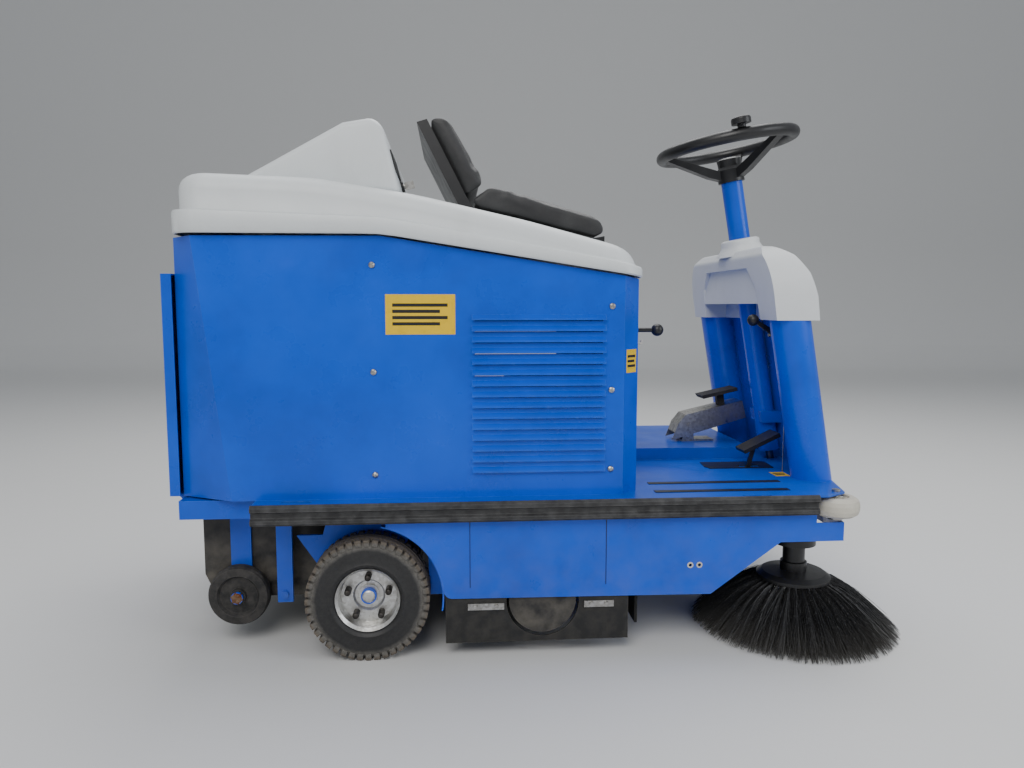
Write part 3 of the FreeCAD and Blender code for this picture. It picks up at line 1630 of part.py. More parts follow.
def spinner_knob():
    """Turning knob that stands on the rim's right side."""
    knob = steering_body("spinner_knob")
    extrude(knob, "XY", [circle("10", "-20", "-rim_ring")], "rim_grip", "rim_grip + 8")
    extrude(knob, "XY", [circle("23", "-20", "-rim_ring")], "rim_grip + 8", "rim_grip + 24")
    soften(knob, "6", lambda e: e.BoundBox.ZMin > 38 and e.BoundBox.XLength > 30)
    return knob


# ---------------------------------------------------------------- pedals and levers


def treadle_bracket():
    """Bracket on the raised floor with the traction pedal's pin."""
    bracket = new_body("treadle_bracket", "treadle_x", "treadle_y")
    inner = "treadle_half - 8"
    foot = rectangle("-20", "70", opposite(inner), inner)
    extrude(bracket, "XY", [foot], "deck_top + 31", "deck_top + 36")
    for side in (-1, 1):
        low_edge = [("-16", "deck_top + 36"), ("16", "deck_top + 36")]
        cheek = low_edge + [("10", "treadle_z + 9"), ("-10", "treadle_z + 9")]
        extrude(bracket, "XZ", [cheek], *sided(side, f"{inner} - 4", inner))
    pin = [circle("6", "0", "treadle_z")]
    extrude(bracket, "XZ", pin, "-treadle_half - 4", "treadle_half + 4")
    return bracket


def treadle():
    """Galvanised channel-shaped traction pedal with heel and toe ends."""
    pedal = new_body("treadle", "0", "treadle_y")
    profile = [
        ("784", "376"),
        ("992", "436"),
        ("980", "484"),
        ("821", "446"),
        ("800", "420"),
    ]
    extrude(pedal, "XZ", [profile], "-treadle_half", "treadle_half")
    hollow = [("775", "366"), ("1000", "432"), ("977", "480.5"), ("823", "443"), ("803", "418")]
    clear(pedal, "XZ", [hollow], "-treadle_half + sheet", "treadle_half - sheet")
    clear(pedal, "XZ", [circle("6 + running", "treadle_x", "treadle_z")], "-treadle_half", "treadle_half")
    return pedal


def foot_rest():
    """Rubber foot pad on a post over the traction pedal."""
    pad = new_body("foot_rest", "0", "treadle_y")
    extrude(pad, "XZ", [[("866", "498"), ("966", "520"), ("968", "511"), ("872", "489")]], "-30", "30")
    extrude(pad, "XZ", [[("915", "501"), ("935", "505.5"), ("939", "474.6"), ("919", "470")]], "-8", "8")
    return pad


def flap_pedal():
    """Pedal that lifts the front flap: ribbed pad on a bent rod from a shaft below the deck."""
    pedal = new_body("flap_pedal", "flap_pedal_x", "flap_pedal_y", "flap_pedal_z")
    front = [("-10", "-8"), ("66", "-8"), ("76", "30"), ("92", "88")]
    rod = front + [("84", "90"), ("66", "32"), ("58", "2"), ("-10", "2")]
    extrude(pedal, "XZ", [rod], "-18", "-10")
    extrude(pedal, "XZ", [circle("12")], "-26", "10")
    extrude(pedal, "XZ", [[("56", "84"), ("146", "128"), ("151", "119"), ("60", "76")]], "-32", "28")
    clear(pedal, "XZ", [circle("7 + running")], "-26", "10")
    return pedal


def flap_pedal_bracket():
    """Hanger below the deck with the flap pedal's shaft."""
    hanger = new_body("flap_pedal_bracket", "flap_pedal_x", "flap_pedal_y", "flap_pedal_z")
    cheek = rectangle("-14", "14", "-14", f"{DECK_BOTTOM} - flap_pedal_z")
    for low, high in (("-34", "-28"), ("12", "18")):
        extrude(hanger, "XZ", [cheek], low, high)
    extrude(hanger, "XZ", [circle("7")], "-28", "12")
    return hanger


def slot_plate():
    """Dark wear plate round the pedal's slot."""
    plate = new_body("slot_plate")
    outline = [
        ("818", "-58"),
        ("812", "-112"),
        ("820", "-134"),
        ("982", "-136"),
        ("988", "-64"),
        ("980", "-58"),
    ]
    extrude(plate, "XY", [outline], "deck_top", "deck_top + 2")
    slot = rectangle("flap_pedal_x + 50", "flap_pedal_x + 104", "flap_pedal_y - 22", "flap_pedal_y - 6")
    clear(plate, "XY", [slot], "deck_top", "deck_top + 2")
    return plate


def grip_strips():
    """Two anti-slip strips on the deck."""
    strips = []
    for index, (rear, front, y) in enumerate((("625", "934", "-280"), ("620", "922", "-359"))):
        strip = new_body(f"grip_{index}")
        outline = rectangle(rear, front, f"{y} - 9", f"{y} + 9")
        extrude(strip, "XY", [outline], "deck_top", "deck_top + 1.5")
        strips.append(strip)
    return strips


def brush_lever():
    """Lever of the main brush: a rod through the front panel with a ball knob."""
    lever = new_body("brush_lever", "lever_x", "lever_y", "lever_z")
    extrude(lever, "XZ", [circle("14")], "-6", "6")
    extrude(lever, "YZ", [circle("5")], "12", "118")
    ball(lever, "128")
    clear(lever, "XZ", [circle("6 + running")], "-6", "6")
    return lever


def ball(body, x, z="0", size="knob_radius"):
    """Ball centred at x, z in the body's own middle plane."""
    sketch = body.newObject("Sketcher::SketchObject", f"{body.Name}_ball")
    base = [o for o in body.Origin.OriginFeatures if o.Role == "XZ_Plane"][0]
    sketch.AttachmentSupport = [(base, "")]
    sketch.MapMode = "FlatFace"
    radius = evaluated(size)
    sketch.setExpression("AttachmentOffset.Base.x", bound(x))
    sketch.setExpression("AttachmentOffset.Base.y", bound(z))
    arc = sketch.addGeometry(Part.ArcOfCircle(Part.Circle(V(0, 0, 0), V(0, 0, 1), radius), 0, math.pi))
    line = sketch.addGeometry(Part.LineSegment(V(-radius, 0, 0), V(radius, 0, 0)))
    sketch.addConstraint(Sketcher.Constraint("Coincident", arc, 1, line, 2))
    sketch.addConstraint(Sketcher.Constraint("Coincident", arc, 2, line, 1))
    sketch.addConstraint(Sketcher.Constraint("Coincident", arc, 3, -1, 1))
    sketch.addConstraint(Sketcher.Constraint("PointOnObject", line, 1, -1))
    limit = sketch.addConstraint(Sketcher.Constraint("Radius", arc, radius))
    sketch.setExpression(f"Constraints[{limit}]", bound(size))
    feature = body.newObject("PartDesign::Revolution", f"{body.Name}_knob")
    feature.Profile = sketch
    feature.ReferenceAxis = (sketch, ["H_Axis"])
    feature.Angle = 360
    doc.recompute()
    return feature


def lever_bracket():
    """Clevis inside the body that holds the brush lever's pin."""
    bracket = new_body("lever_bracket", "lever_x", "lever_y", "lever_z")
    for low, high in (("-12", "-8"), ("8", "12")):
        cheek = rectangle("-14", "body_front - sheet - lever_x", "-14", "-6")
        extrude(bracket, "XZ", [cheek], low, high)
        extrude(bracket, "XZ", [circle("12")], low, high)
    extrude(bracket, "XZ", [circle("6")], "-12", "12")
    return bracket


def side_lever():
    """Lever of the side brush: knob behind its pivot and a fork under the cable's nipple in front."""
    lever = new_body("side_lever", "side_lever_x", "cable_y", "side_lever_z")
    extrude(lever, "XZ", [circle("11")], "-7", "7")
    rod = [("-6", "-6"), ("-2", "8"), ("-42", "31"), ("-46", "23")]
    extrude(lever, "XZ", [rod], "-4", "4")
    reach = "cable_x - side_lever_x + 8"
    for low, high in (("-7", "-cable_radius - 1"), ("cable_radius + 1", "7")):
        extrude(lever, "XZ", [rectangle("6", reach, "-2", "2")], low, high)
    ball(lever, "-52", "31")
    clear(lever, "XZ", [circle("4 + running")], "-8", "8")
    return lever


def side_lever_bracket():
    """Cheeks and pin on the column wall for the side brush's lever."""
    cheeks = []
    wall_low = wall_x("side_lever_z - 10")
    wall_high = wall_x("side_lever_z + 10")
    for index, (low, high) in enumerate((("-14", "-9"), ("9", "14"))):
        cheek = new_body(f"lever_cheek_{index}", "0", "cable_y")
        outline = [
            ("side_lever_x - 9", "side_lever_z - 10"),
            (wall_low, "side_lever_z - 10"),
            (wall_high, "side_lever_z + 10"),
            ("side_lever_x - 9", "side_lever_z + 10"),
        ]
        extrude(cheek, "XZ", [outline], low, high)
        clear(cheek, "XZ", [circle("4", "side_lever_x", "side_lever_z")], low, high)
        cheeks.append(cheek)
    pin = new_body("lever_pin", "0", "cable_y")
    extrude(pin, "XZ", [circle("4", "side_lever_x", "side_lever_z")], "-16", "16")
    return cheeks + [pin]


def lift_cable():
    """Steel cable with a ball nipple on the side brush's lever and a flat one under its arm."""
    cable = new_body("lift_cable", "cable_x", "cable_y")
    seat = "side_lever_z + 2 + gap + sqrt(nipple_radius ^ 2 - (cable_radius + 1) ^ 2)"
    extrude(cable, "XY", [circle("cable_radius")], "230", seat)
    extrude(cable, "XY", [circle("7")], "228", "240 - nipple_slack")
    ball(cable, "0", seat, "nipple_radius")
    return cable


def roller_pins():
    """Shouldered pins below the deck's front corners on which the bumper rollers turn."""
    pins = []
    for side in (-1, 1):
        pin = new_body(f"roller_pin_{len(pins)}", "roller_x", across(side, "roller_y"))
        extrude(pin, "XY", [circle("roller_pin")], "roller_bottom - 6", DECK_BOTTOM)
        extrude(pin, "XY", [circle("roller_pin + 8")], "roller_bottom - 9", "roller_bottom - 0.5")
        extrude(pin, "XY", [circle("5")], DECK_BOTTOM, "deck_top + 6")
        extrude(pin, "XY", [circle("9")], "deck_top", "deck_top + 5")
        pins.append(pin)
    return pins


def bumper_roller(label, side):
    """Round-edged roller that keeps the corner off walls."""
    roller = new_body(label, "roller_x", across(side, "roller_y"))
    outline = [
        ("roller_pin + running", "roller_bottom"),
        ("roller_radius - 12", "roller_bottom"),
        ("roller_radius - 3", "roller_bottom + 6"),
        ("roller_radius", "roller_bottom + 15"),
        ("roller_radius", "roller_top - 15"),
        ("roller_radius - 3", "roller_top - 6"),
        ("roller_radius - 12", "roller_top"),
        ("roller_radius - 22", "roller_top"),
        ("roller_radius - 24", "roller_top - 5"),
        ("roller_pin + 6", "roller_top - 5"),
        ("roller_pin + 6", "roller_top"),
        ("roller_pin + running", "roller_top"),
    ]
    spin(roller, outline)
    return roller


def crossmembers():
    """The three tubes between the rails; the front one is drilled for the lift cable."""
    stations = ("arm_pivot_x + 40", "step_start - 5", "960")
    tubes = [crossmember(f"cross_{i}", x) for i, x in enumerate(stations)]
    hole = circle("cable_radius + 3", "cable_x", "cable_y")
    clear(tubes[2], "XY", [hole], RAIL_BOTTOM, DECK_BOTTOM)
    return tubes


def chassis_nodes():
    """Frame, deck, skirts, panels and what is fixed under and inside them."""
    frame = both_sides("frame_rail", frame_rail) + crossmembers() + body_posts()
    frame += both_sides("frame_leg", frame_leg)
    sheets = [platform(), battery_deck()] + both_sides("side_flange", side_flange) + raised_floor()
    low_sheets = both_sides("skirt", skirt) + [front_apron()] + both_sides("wheel_arch", wheel_arch)
    panels = both_sides("side_panel", side_panel) + [front_panel(), rear_crosspanel()]
    brackets = both_sides("arm_pivot", arm_pivot) + both_sides("flap_bearing", flap_bearing)
    brackets += both_sides("hopper_guide", hopper_guide) + [steering_head(), flap_pedal_bracket()]
    brackets += side_brush_pivot() + brush_tunnel()
    axles = both_sides("axle_hanger", axle_hanger) + both_sides("stub_axle", stub_axle)
    return [
        group("chassis_frame", frame),
        group("deck", sheets),
        group("skirts", low_sheets),
        group("body_panels", panels),
        group("underframe", brackets),
        group("rear_axles", axles),
        group("bumper_strips", both_sides("bumper_strip", bumper_strip)),
        group("panel_screws", panel_screws()),
        group("side_flaps", both_sides("side_flap", side_flap)),
        group("flap_clamps", flap_clamps()),
        group("floor_trims", [slot_plate()] + grip_strips()),
        group("pivot_hardware", pivot_hardware()),
    ]


def pivot_hardware():
    """Plated brackets and pins: hood hinge leaves, lever clevises, pedal bracket and roller pins."""
    leaves = [hinge_leaf("hinge_leaf_0", "-220"), hinge_leaf("hinge_leaf_1", "220")]
    return leaves + [lever_bracket(), treadle_bracket()] + side_lever_bracket() + roller_pins()


def wheel_nodes():
    """Rear tyres and rims, the fork and the front wheel."""
    rear = both_sides("rear_tyre", rear_tyre) + both_sides("rear_rim", rear_rim)
    return rear + [front_fork(), front_wheel()]


def brush_nodes():
    """Main brush with its arms and drive, side brush with its arm, and the front flap."""
    arms = both_sides("brush_arm", brush_arm) + [arm_tie()]
    motor_pulley, brush_pulley, belt = belt_drive()
    return [
        group("brush_arms", arms),
        group("main_brush_core", [main_brush_tube(), brush_pulley]),
        main_brush_bristles(),
        brush_motor(),
        motor_pulley,
        belt,
        front_flap(),
        side_brush_arm(),
        side_brush_motor(),
        side_brush_disc(),
        side_brush_bristles(),
    ]


def hopper_nodes():
    """Dust bin, its frame and door, and its transport wheels."""
    frame = both_sides("hopper_runner", hopper_runner) + both_sides("hopper_leg", hopper_leg)
    frame += hopper_ties() + [hopper_handle()]
    fixed = [hopper_bin(), group("hopper_frame", frame), hopper_door()]
    return fixed + both_sides("small_wheel", small_wheel)


def power_nodes():
    """Battery, controller, filter and suction fan."""
    return [
        group("battery_pack", battery_blocks()),
        controller_box(),
        group("filter_housing", [filter_box(), filter_panel()]),
        fan_housing(),
        fan_impeller(),
    ]


def hood_nodes():
    """Hood with its console, key, seat and hinge halves."""
    mounts = [seat_mount("seat_mount_0", "-150"), seat_mount("seat_mount_1", "110")]
    knuckles = [hinge_knuckle("knuckle_0", "-220"), hinge_knuckle("knuckle_1", "220")]
    return [
        group("hood_shell", [hood_moulding(), console_hump()]),
        group("console_controls", [console_panel(), key_switch()]),
        ignition_key(),
        seat_back(),
        seat_base(),
        group("seat_shell", [seat_pan()] + mounts),
        group("hood_knuckles", knuckles),
    ]


def column_nodes():
    """Front column, its cap and the steering."""
    frame = both_sides("column_tube", column_tube) + [column_wall(), steering_tube(), steering_bracket()]
    return [
        group("column_frame", frame),
        dash_cap(),
        dash_panel(),
        steering_shaft(),
        group("steering_wheel", [wheel_ring(), spinner_knob()]),
    ]


def control_nodes():
    """Pedals, levers, the lift cable and the bumper rollers."""
    controls = [treadle(), foot_rest(), flap_pedal(), brush_lever(), side_lever(), lift_cable()]
    return controls + both_sides("bumper_roller", bumper_roller)


def build():
    """Every sub-part of the sweeper, in the order in which it would be assembled."""
    nodes = chassis_nodes() + wheel_nodes() + brush_nodes() + hopper_nodes()
    return nodes + power_nodes() + hood_nodes() + column_nodes() + control_nodes()


def check(nodes):
    """Stop if any object failed or any sub-part is not a sound solid."""
    for item in doc.Objects:
        if {"Invalid", "Error"} & set(item.State):
            raise RuntimeError(f"{item.Name} failed: {item.State}")
    for node in nodes:
        if node.Shape.isNull() or not node.Shape.isValid() or not node.Shape.Solids:
            raise RuntimeError(f"{node.Label} has no sound shape")


def main():
    """Build, check and write each sub-part."""
    fill_sheet()
    nodes = build()
    doc.recompute()
    check(nodes)
    os.makedirs("parts", exist_ok=True)
    for node in nodes:
        node.Shape.exportStep(f"parts/{node.Label}.step")
    print(f"{len(nodes)} nodes written")


main()
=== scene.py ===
"""Looks of the ride-on sweeper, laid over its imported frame.

Sizes are in millimetres about the rear axle's middle, as in the CAD source, with x forward,
y to the driver's left and z up. Drawing turns them into metres in the frame.
"""

import json
import logging
import math
import random
from collections.abc import Callable, Sequence
from dataclasses import dataclass
from enum import Enum

import bmesh
import bpy
from mathutils import Matrix, Vector

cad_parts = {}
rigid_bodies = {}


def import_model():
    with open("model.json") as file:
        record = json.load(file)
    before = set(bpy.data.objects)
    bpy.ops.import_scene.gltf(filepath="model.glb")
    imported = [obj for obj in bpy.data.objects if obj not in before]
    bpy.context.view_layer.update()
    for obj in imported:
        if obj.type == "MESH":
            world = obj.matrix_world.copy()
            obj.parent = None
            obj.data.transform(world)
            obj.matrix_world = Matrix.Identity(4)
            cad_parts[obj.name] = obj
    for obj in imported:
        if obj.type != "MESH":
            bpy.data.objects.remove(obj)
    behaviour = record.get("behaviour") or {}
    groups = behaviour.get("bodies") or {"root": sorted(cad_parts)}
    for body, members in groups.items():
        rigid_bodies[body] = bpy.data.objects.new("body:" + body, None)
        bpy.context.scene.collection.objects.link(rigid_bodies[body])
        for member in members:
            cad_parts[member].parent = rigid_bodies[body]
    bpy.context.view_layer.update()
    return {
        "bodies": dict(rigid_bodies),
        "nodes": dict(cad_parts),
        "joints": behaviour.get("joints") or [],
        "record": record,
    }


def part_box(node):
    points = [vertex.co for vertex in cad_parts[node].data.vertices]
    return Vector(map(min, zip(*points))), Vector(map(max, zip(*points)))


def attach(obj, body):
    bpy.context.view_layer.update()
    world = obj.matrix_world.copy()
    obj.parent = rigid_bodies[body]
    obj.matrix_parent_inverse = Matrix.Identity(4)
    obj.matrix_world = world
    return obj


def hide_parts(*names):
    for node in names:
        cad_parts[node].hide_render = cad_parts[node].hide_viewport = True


LOG = logging.getLogger("sweeper")

Flat = tuple[float, float]
Stops = Sequence[tuple[float, tuple[float, float, float]]]
Finishes = dict[str, bpy.types.Material]


class Side(Enum):
    """Sides of the machine, with the sign of y on each."""

    RIGHT = -1
    LEFT = 1

    @property
    def word(self) -> str:
        """The side's name in node names."""
        return self.name.lower()


@dataclass(frozen=True)
class Drawing:
    """Where the rear axle's middle, zero for all sizes here, lies in the frame, in metres."""

    x: float
    y: float

    @classmethod
    def from_joints(cls, joints: Sequence[dict]) -> "Drawing":
        """The drawing's zero, halfway between the rear wheels.

        Args:
            joints: the record's joints.

        Returns:
            The drawing.
        """
        places = {joint["name"]: joint.get("pos_m") for joint in joints}
        right = places["rear_wheel_right_spin"]
        left = places["rear_wheel_left_spin"]
        return cls(right[0], (right[1] + left[1]) / 2)

    def at(self, x: float, y: float, z: float) -> Vector:
        """A place on the drawing, as a point in the frame.

        Args:
            x: millimetres forward of the rear axle.
            y: millimetres left of the middle.
            z: millimetres above the ground.

        Returns:
            The point in metres.
        """
        return Vector((self.x + x / 1000, self.y + y / 1000, z / 1000))


# ------------------------------------------------------------------ modelling


def clear_selection() -> None:
    """Leave edit mode and deselect every object."""
    if bpy.context.object is not None and bpy.context.object.mode != "OBJECT":
        bpy.ops.object.mode_set(mode="OBJECT")
    bpy.ops.object.select_all(action="DESELECT")


def choose(piece: bpy.types.Object) -> None:
    """Select one object alone and make it active.

    Args:
        piece: the object.
    """
    clear_selection()
    piece.hide_set(False)
    piece.select_set(True)
    bpy.context.view_layer.objects.active = piece


def chain(name: str, points: Sequence[Vector]) -> bpy.types.Object:
    """Draw a line of edges by extruding one corner from point to point, and stay in edit mode.

    Args:
        name: the new object's name.
        points: the corners in order, in metres.

    Returns:
        The object, with all of it selected.
    """
    clear_selection()
    bpy.ops.mesh.primitive_plane_add(size=0.01, location=(0, 0, 0))
    piece = bpy.context.object
    piece.name = name
    bpy.ops.object.mode_set(mode="EDIT")
    bpy.ops.mesh.merge(type="CENTER")
    bpy.ops.transform.translate(value=points[0])
    for start, end in zip(points, points[1:]):
        bpy.ops.mesh.extrude_region_move(TRANSFORM_OT_translate={"value": end - start})
    bpy.ops.mesh.select_all(action="SELECT")
    return piece


def face_outwards() -> None:
    """Merge doubles and turn all faces of the mesh in edit mode outwards, then leave edit mode."""
    bpy.ops.mesh.select_all(action="SELECT")
    bpy.ops.mesh.remove_doubles(threshold=1e-6)
    bpy.ops.mesh.normals_make_consistent(inside=False)
    bpy.ops.object.mode_set(mode="OBJECT")


def prism(name: str, outline: Sequence[Vector], along: Vector) -> bpy.types.Object:
    """Fill an outline and extrude it.

    Args:
        name: the new object's name.
        outline: the corners in order, in metres.
        along: how far the outline goes.

    Returns:
        The closed solid.
    """
    piece = chain(name, outline)
    bpy.ops.mesh.edge_face_add()
    bpy.ops.mesh.select_all(action="SELECT")
    bpy.ops.mesh.extrude_region_move(TRANSFORM_OT_translate={"value": along})
    face_outwards()
    return piece


def lathe(
    name: str, profile: Sequence[Flat], centre: Vector, axis: Vector, steps: int = 64
) -> bpy.types.Object:
    """Spin a profile right round an axis.

    Args:
        name: the new object's name.
        profile: (radius, distance along the axis) pairs in millimetres.
        centre: the point that distances are counted from.
        axis: the axis's direction.
        steps: segments round the axis.

    Returns:
        The turned piece.
    """
    axis = axis.normalized()
    across = axis.orthogonal().normalized()
    points = [centre + across * (r / 1000) + axis * (a / 1000) for r, a in profile]
    piece = chain(name, points)
    bpy.ops.mesh.spin(steps=steps, angle=2 * math.pi, center=centre, axis=axis)
    face_outwards()
    return piece


def stack(name: str, loops: Sequence[Sequence[Vector]], closed: bool) -> bpy.types.Object:
    """Extrude a loop of edges from one contour to the next.

    Args:
        name: the new object's name.
        loops: contours with the same number of points, each point above its partner.
        closed: whether the last and first contours are filled.

    Returns:
        The skinned piece.
    """
    count = len(loops[0])
    clear_selection()
    bpy.ops.mesh.primitive_circle_add(vertices=count, radius=0.1, location=(0, 0, 0))
    piece = bpy.context.object
    piece.name = name
    bpy.ops.object.mode_set(mode="EDIT")
    mesh = bmesh.from_edit_mesh(piece.data)
    for vert, place in zip(mesh.verts, loops[0]):
        vert.co = place
    if closed:
        bpy.ops.mesh.edge_face_add()
    for low, high in zip(loops, loops[1:]):
        if closed:
            bpy.ops.mesh.extrude_region()
        else:
            bpy.ops.mesh.extrude_edges_indiv()
        mesh = bmesh.from_edit_mesh(piece.data)
        moving = [vert for vert in mesh.verts if vert.select]
        for vert in moving:
            nearest = min(range(count), key=lambda k: (low[k] - vert.co).length_squared)
            vert.co = high[nearest]
        bmesh.update_edit_mesh(piece.data)
    face_outwards()
    return piece


def block(name: str, low: Vector, high: Vector) -> bpy.types.Object:
    """A box between two corners.

    Args:
        name: the new object's name.
        low: the lowest corner.
        high: the highest corner.

    Returns:
        The box, with its place in its mesh.
    """
    clear_selection()
    bpy.ops.mesh.primitive_cube_add(size=1, location=(low + high) / 2, scale=high - low)
    piece = bpy.context.object
    piece.name = name
    bpy.ops.object.transform_apply(location=True, rotation=True, scale=True)
    return piece


def modify(piece: bpy.types.Object, kind: str, **settings: object) -> bpy.types.Object:
    """Add a modifier and apply it.

    Args:
        piece: the object.
        kind: Blender's modifier type.
        settings: the modifier's values.

    Returns:
        The same object.
    """
    choose(piece)
    modifier = piece.modifiers.new(kind.title(), kind)
    for key, value in settings.items():
        setattr(modifier, key, value)
    bpy.ops.object.modifier_apply(modifier=modifier.name)
    return piece


def soften(
    piece: bpy.types.Object, width: float, segments: int = 3, angle: float = 30
) -> bpy.types.Object:
    """Bevel the sharp edges of a piece.

    Args:
        piece: the object.
        width: the bevel's width in millimetres.
        segments: steps across the bevel.
        angle: edges sharper than this are bevelled, in degrees.

    Returns:
        The same object.
    """
    return modify(
        piece,
        "BEVEL",
        width=width / 1000,
        segments=segments,
        limit_method="ANGLE",
        angle_limit=math.radians(angle),
        use_clamp_overlap=True,
    )


def smooth(piece: bpy.types.Object, angle: float = 40) -> bpy.types.Object:
    """Shade a piece smooth, except across sharp edges.

    Args:
        piece: the object.
        angle: the angle in degrees above which an edge stays sharp.

    Returns:
        The same object.
    """
    choose(piece)
    bpy.ops.object.shade_smooth_by_angle(angle=math.radians(angle))
    return piece


def copied(piece: bpy.types.Object, name: str, change: Matrix) -> bpy.types.Object:
    """A moved copy of a piece with its own mesh.

    Args:
        piece: the object.
        name: the copy's name.
        change: the move, in metres.

    Returns:
        The copy.
    """
    twin = piece.copy()
    twin.data = piece.data.copy()
    twin.name = name
    bpy.context.scene.collection.objects.link(twin)
    twin.data.transform(change)
    if change.determinant() < 0:
        twin.data.flip_normals()
    return twin


def turned(
    piece: bpy.types.Object, name: str, centre: Vector, axis: Vector, angle: float
) -> bpy.types.Object:
    """A copy of a piece turned about an axis.

    Args:
        piece: the object.
        name: the copy's name.
        centre: a point on the axis.
        axis: the axis's direction.
        angle: the turn in radians.

    Returns:
        The copy.
    """
    turn = Matrix.Translation(centre) @ Matrix.Rotation(angle, 4, axis) @ Matrix.Translation(-centre)
    return copied(piece, name, turn)


def joined(name: str, pieces: Sequence[bpy.types.Object]) -> bpy.types.Object:
    """Join pieces into one object.

    Args:
        name: the joined object's name.
        pieces: the objects, which are used up.

    Returns:
        The joined object.
    """
    choose(pieces[0])
    for piece in pieces[1:]:
        piece.select_set(True)
    bpy.ops.object.join()
    whole = bpy.context.object
    whole.name = name
    return whole


def from_faces(
    name: str, points: Sequence[Vector], faces: Sequence[Sequence[int]]
) -> bpy.types.Object:
    """A mesh of many fine strands, given by its points and faces.

    Args:
        name: the new object's name.
        points: corners in metres.
        faces: corner numbers of each face, seen from outside.

    Returns:
        The object.
    """
    mesh = bpy.data.meshes.new(name)
    mesh.from_pydata([tuple(p) for p in points], [], [tuple(f) for f in faces])
    mesh.update()
    piece = bpy.data.objects.new(name, mesh)
    bpy.context.scene.collection.objects.link(piece)
    return piece


def set_down(
    piece: bpy.types.Object, finish: bpy.types.Material, slot: str, body: str, *nodes: str
) -> bpy.types.Object:
    """Give a piece its finish and its body, and report it.

    Args:
        piece: the object.
        finish: its material.
        slot: the record's material slot; not used.
        body: the body that it rides on.
        nodes: nodes that it stands for.

    Returns:
        The same object.
    """
    piece.data.materials.clear()
    piece.data.materials.append(finish)
    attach(piece, body)
    if nodes:
        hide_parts(*nodes)
    LOG.info("%s on %s: %d faces", piece.name, body, len(piece.data.polygons))
    return piece


def rounded_plan(
    rear: float, front: float, half: float, radius: float, along: int = 26, across: int = 6
) -> list[Flat]:
    """Corners of a rounded rectangle, seen from above.

    Args:
        rear: lowest x.
        front: highest x.
        half: half the width.
        radius: corner radius.
        along: steps on each long side.
        across: steps on each end.

    Returns:
        (x, y) pairs, anticlockwise from the rear of the right side.
    """
    radius = max(min(radius, half - 0.5, (front - rear) / 2 - 0.5), 0.5)
    x0, x1, y1 = rear + radius, front - radius, half - radius
    plan = [(x0 + (x1 - x0) * i / along, -half) for i in range(along)]
    plan += arc(x1, -y1, radius, -90)
    plan += [(front, -y1 + 2 * y1 * i / across) for i in range(1, across)]
    plan += arc(x1, y1, radius, 0)
    plan += [(x1 - (x1 - x0) * i / along, half) for i in range(1, along)]
    plan += arc(x0, y1, radius, 90)
    plan += [(rear, y1 - 2 * y1 * i / across) for i in range(1, across)]
    plan += arc(x0, -y1, radius, 180)[:-1]
    return plan


def arc(x: float, y: float, radius: float, start: float) -> list[Flat]:
    """A quarter circle in nine points.

    Args:
        x: the centre's x.
        y: the centre's y.
        radius: the circle's radius.
        start: the first point's angle in degrees.

    Returns:
        (x, y) pairs.
    """
    angles = [math.radians(start + 90 * i / 8) for i in range(9)]
    return [(x + radius * math.cos(a), y + radius * math.sin(a)) for a in angles]


# ------------------------------------------------------------------ finishes


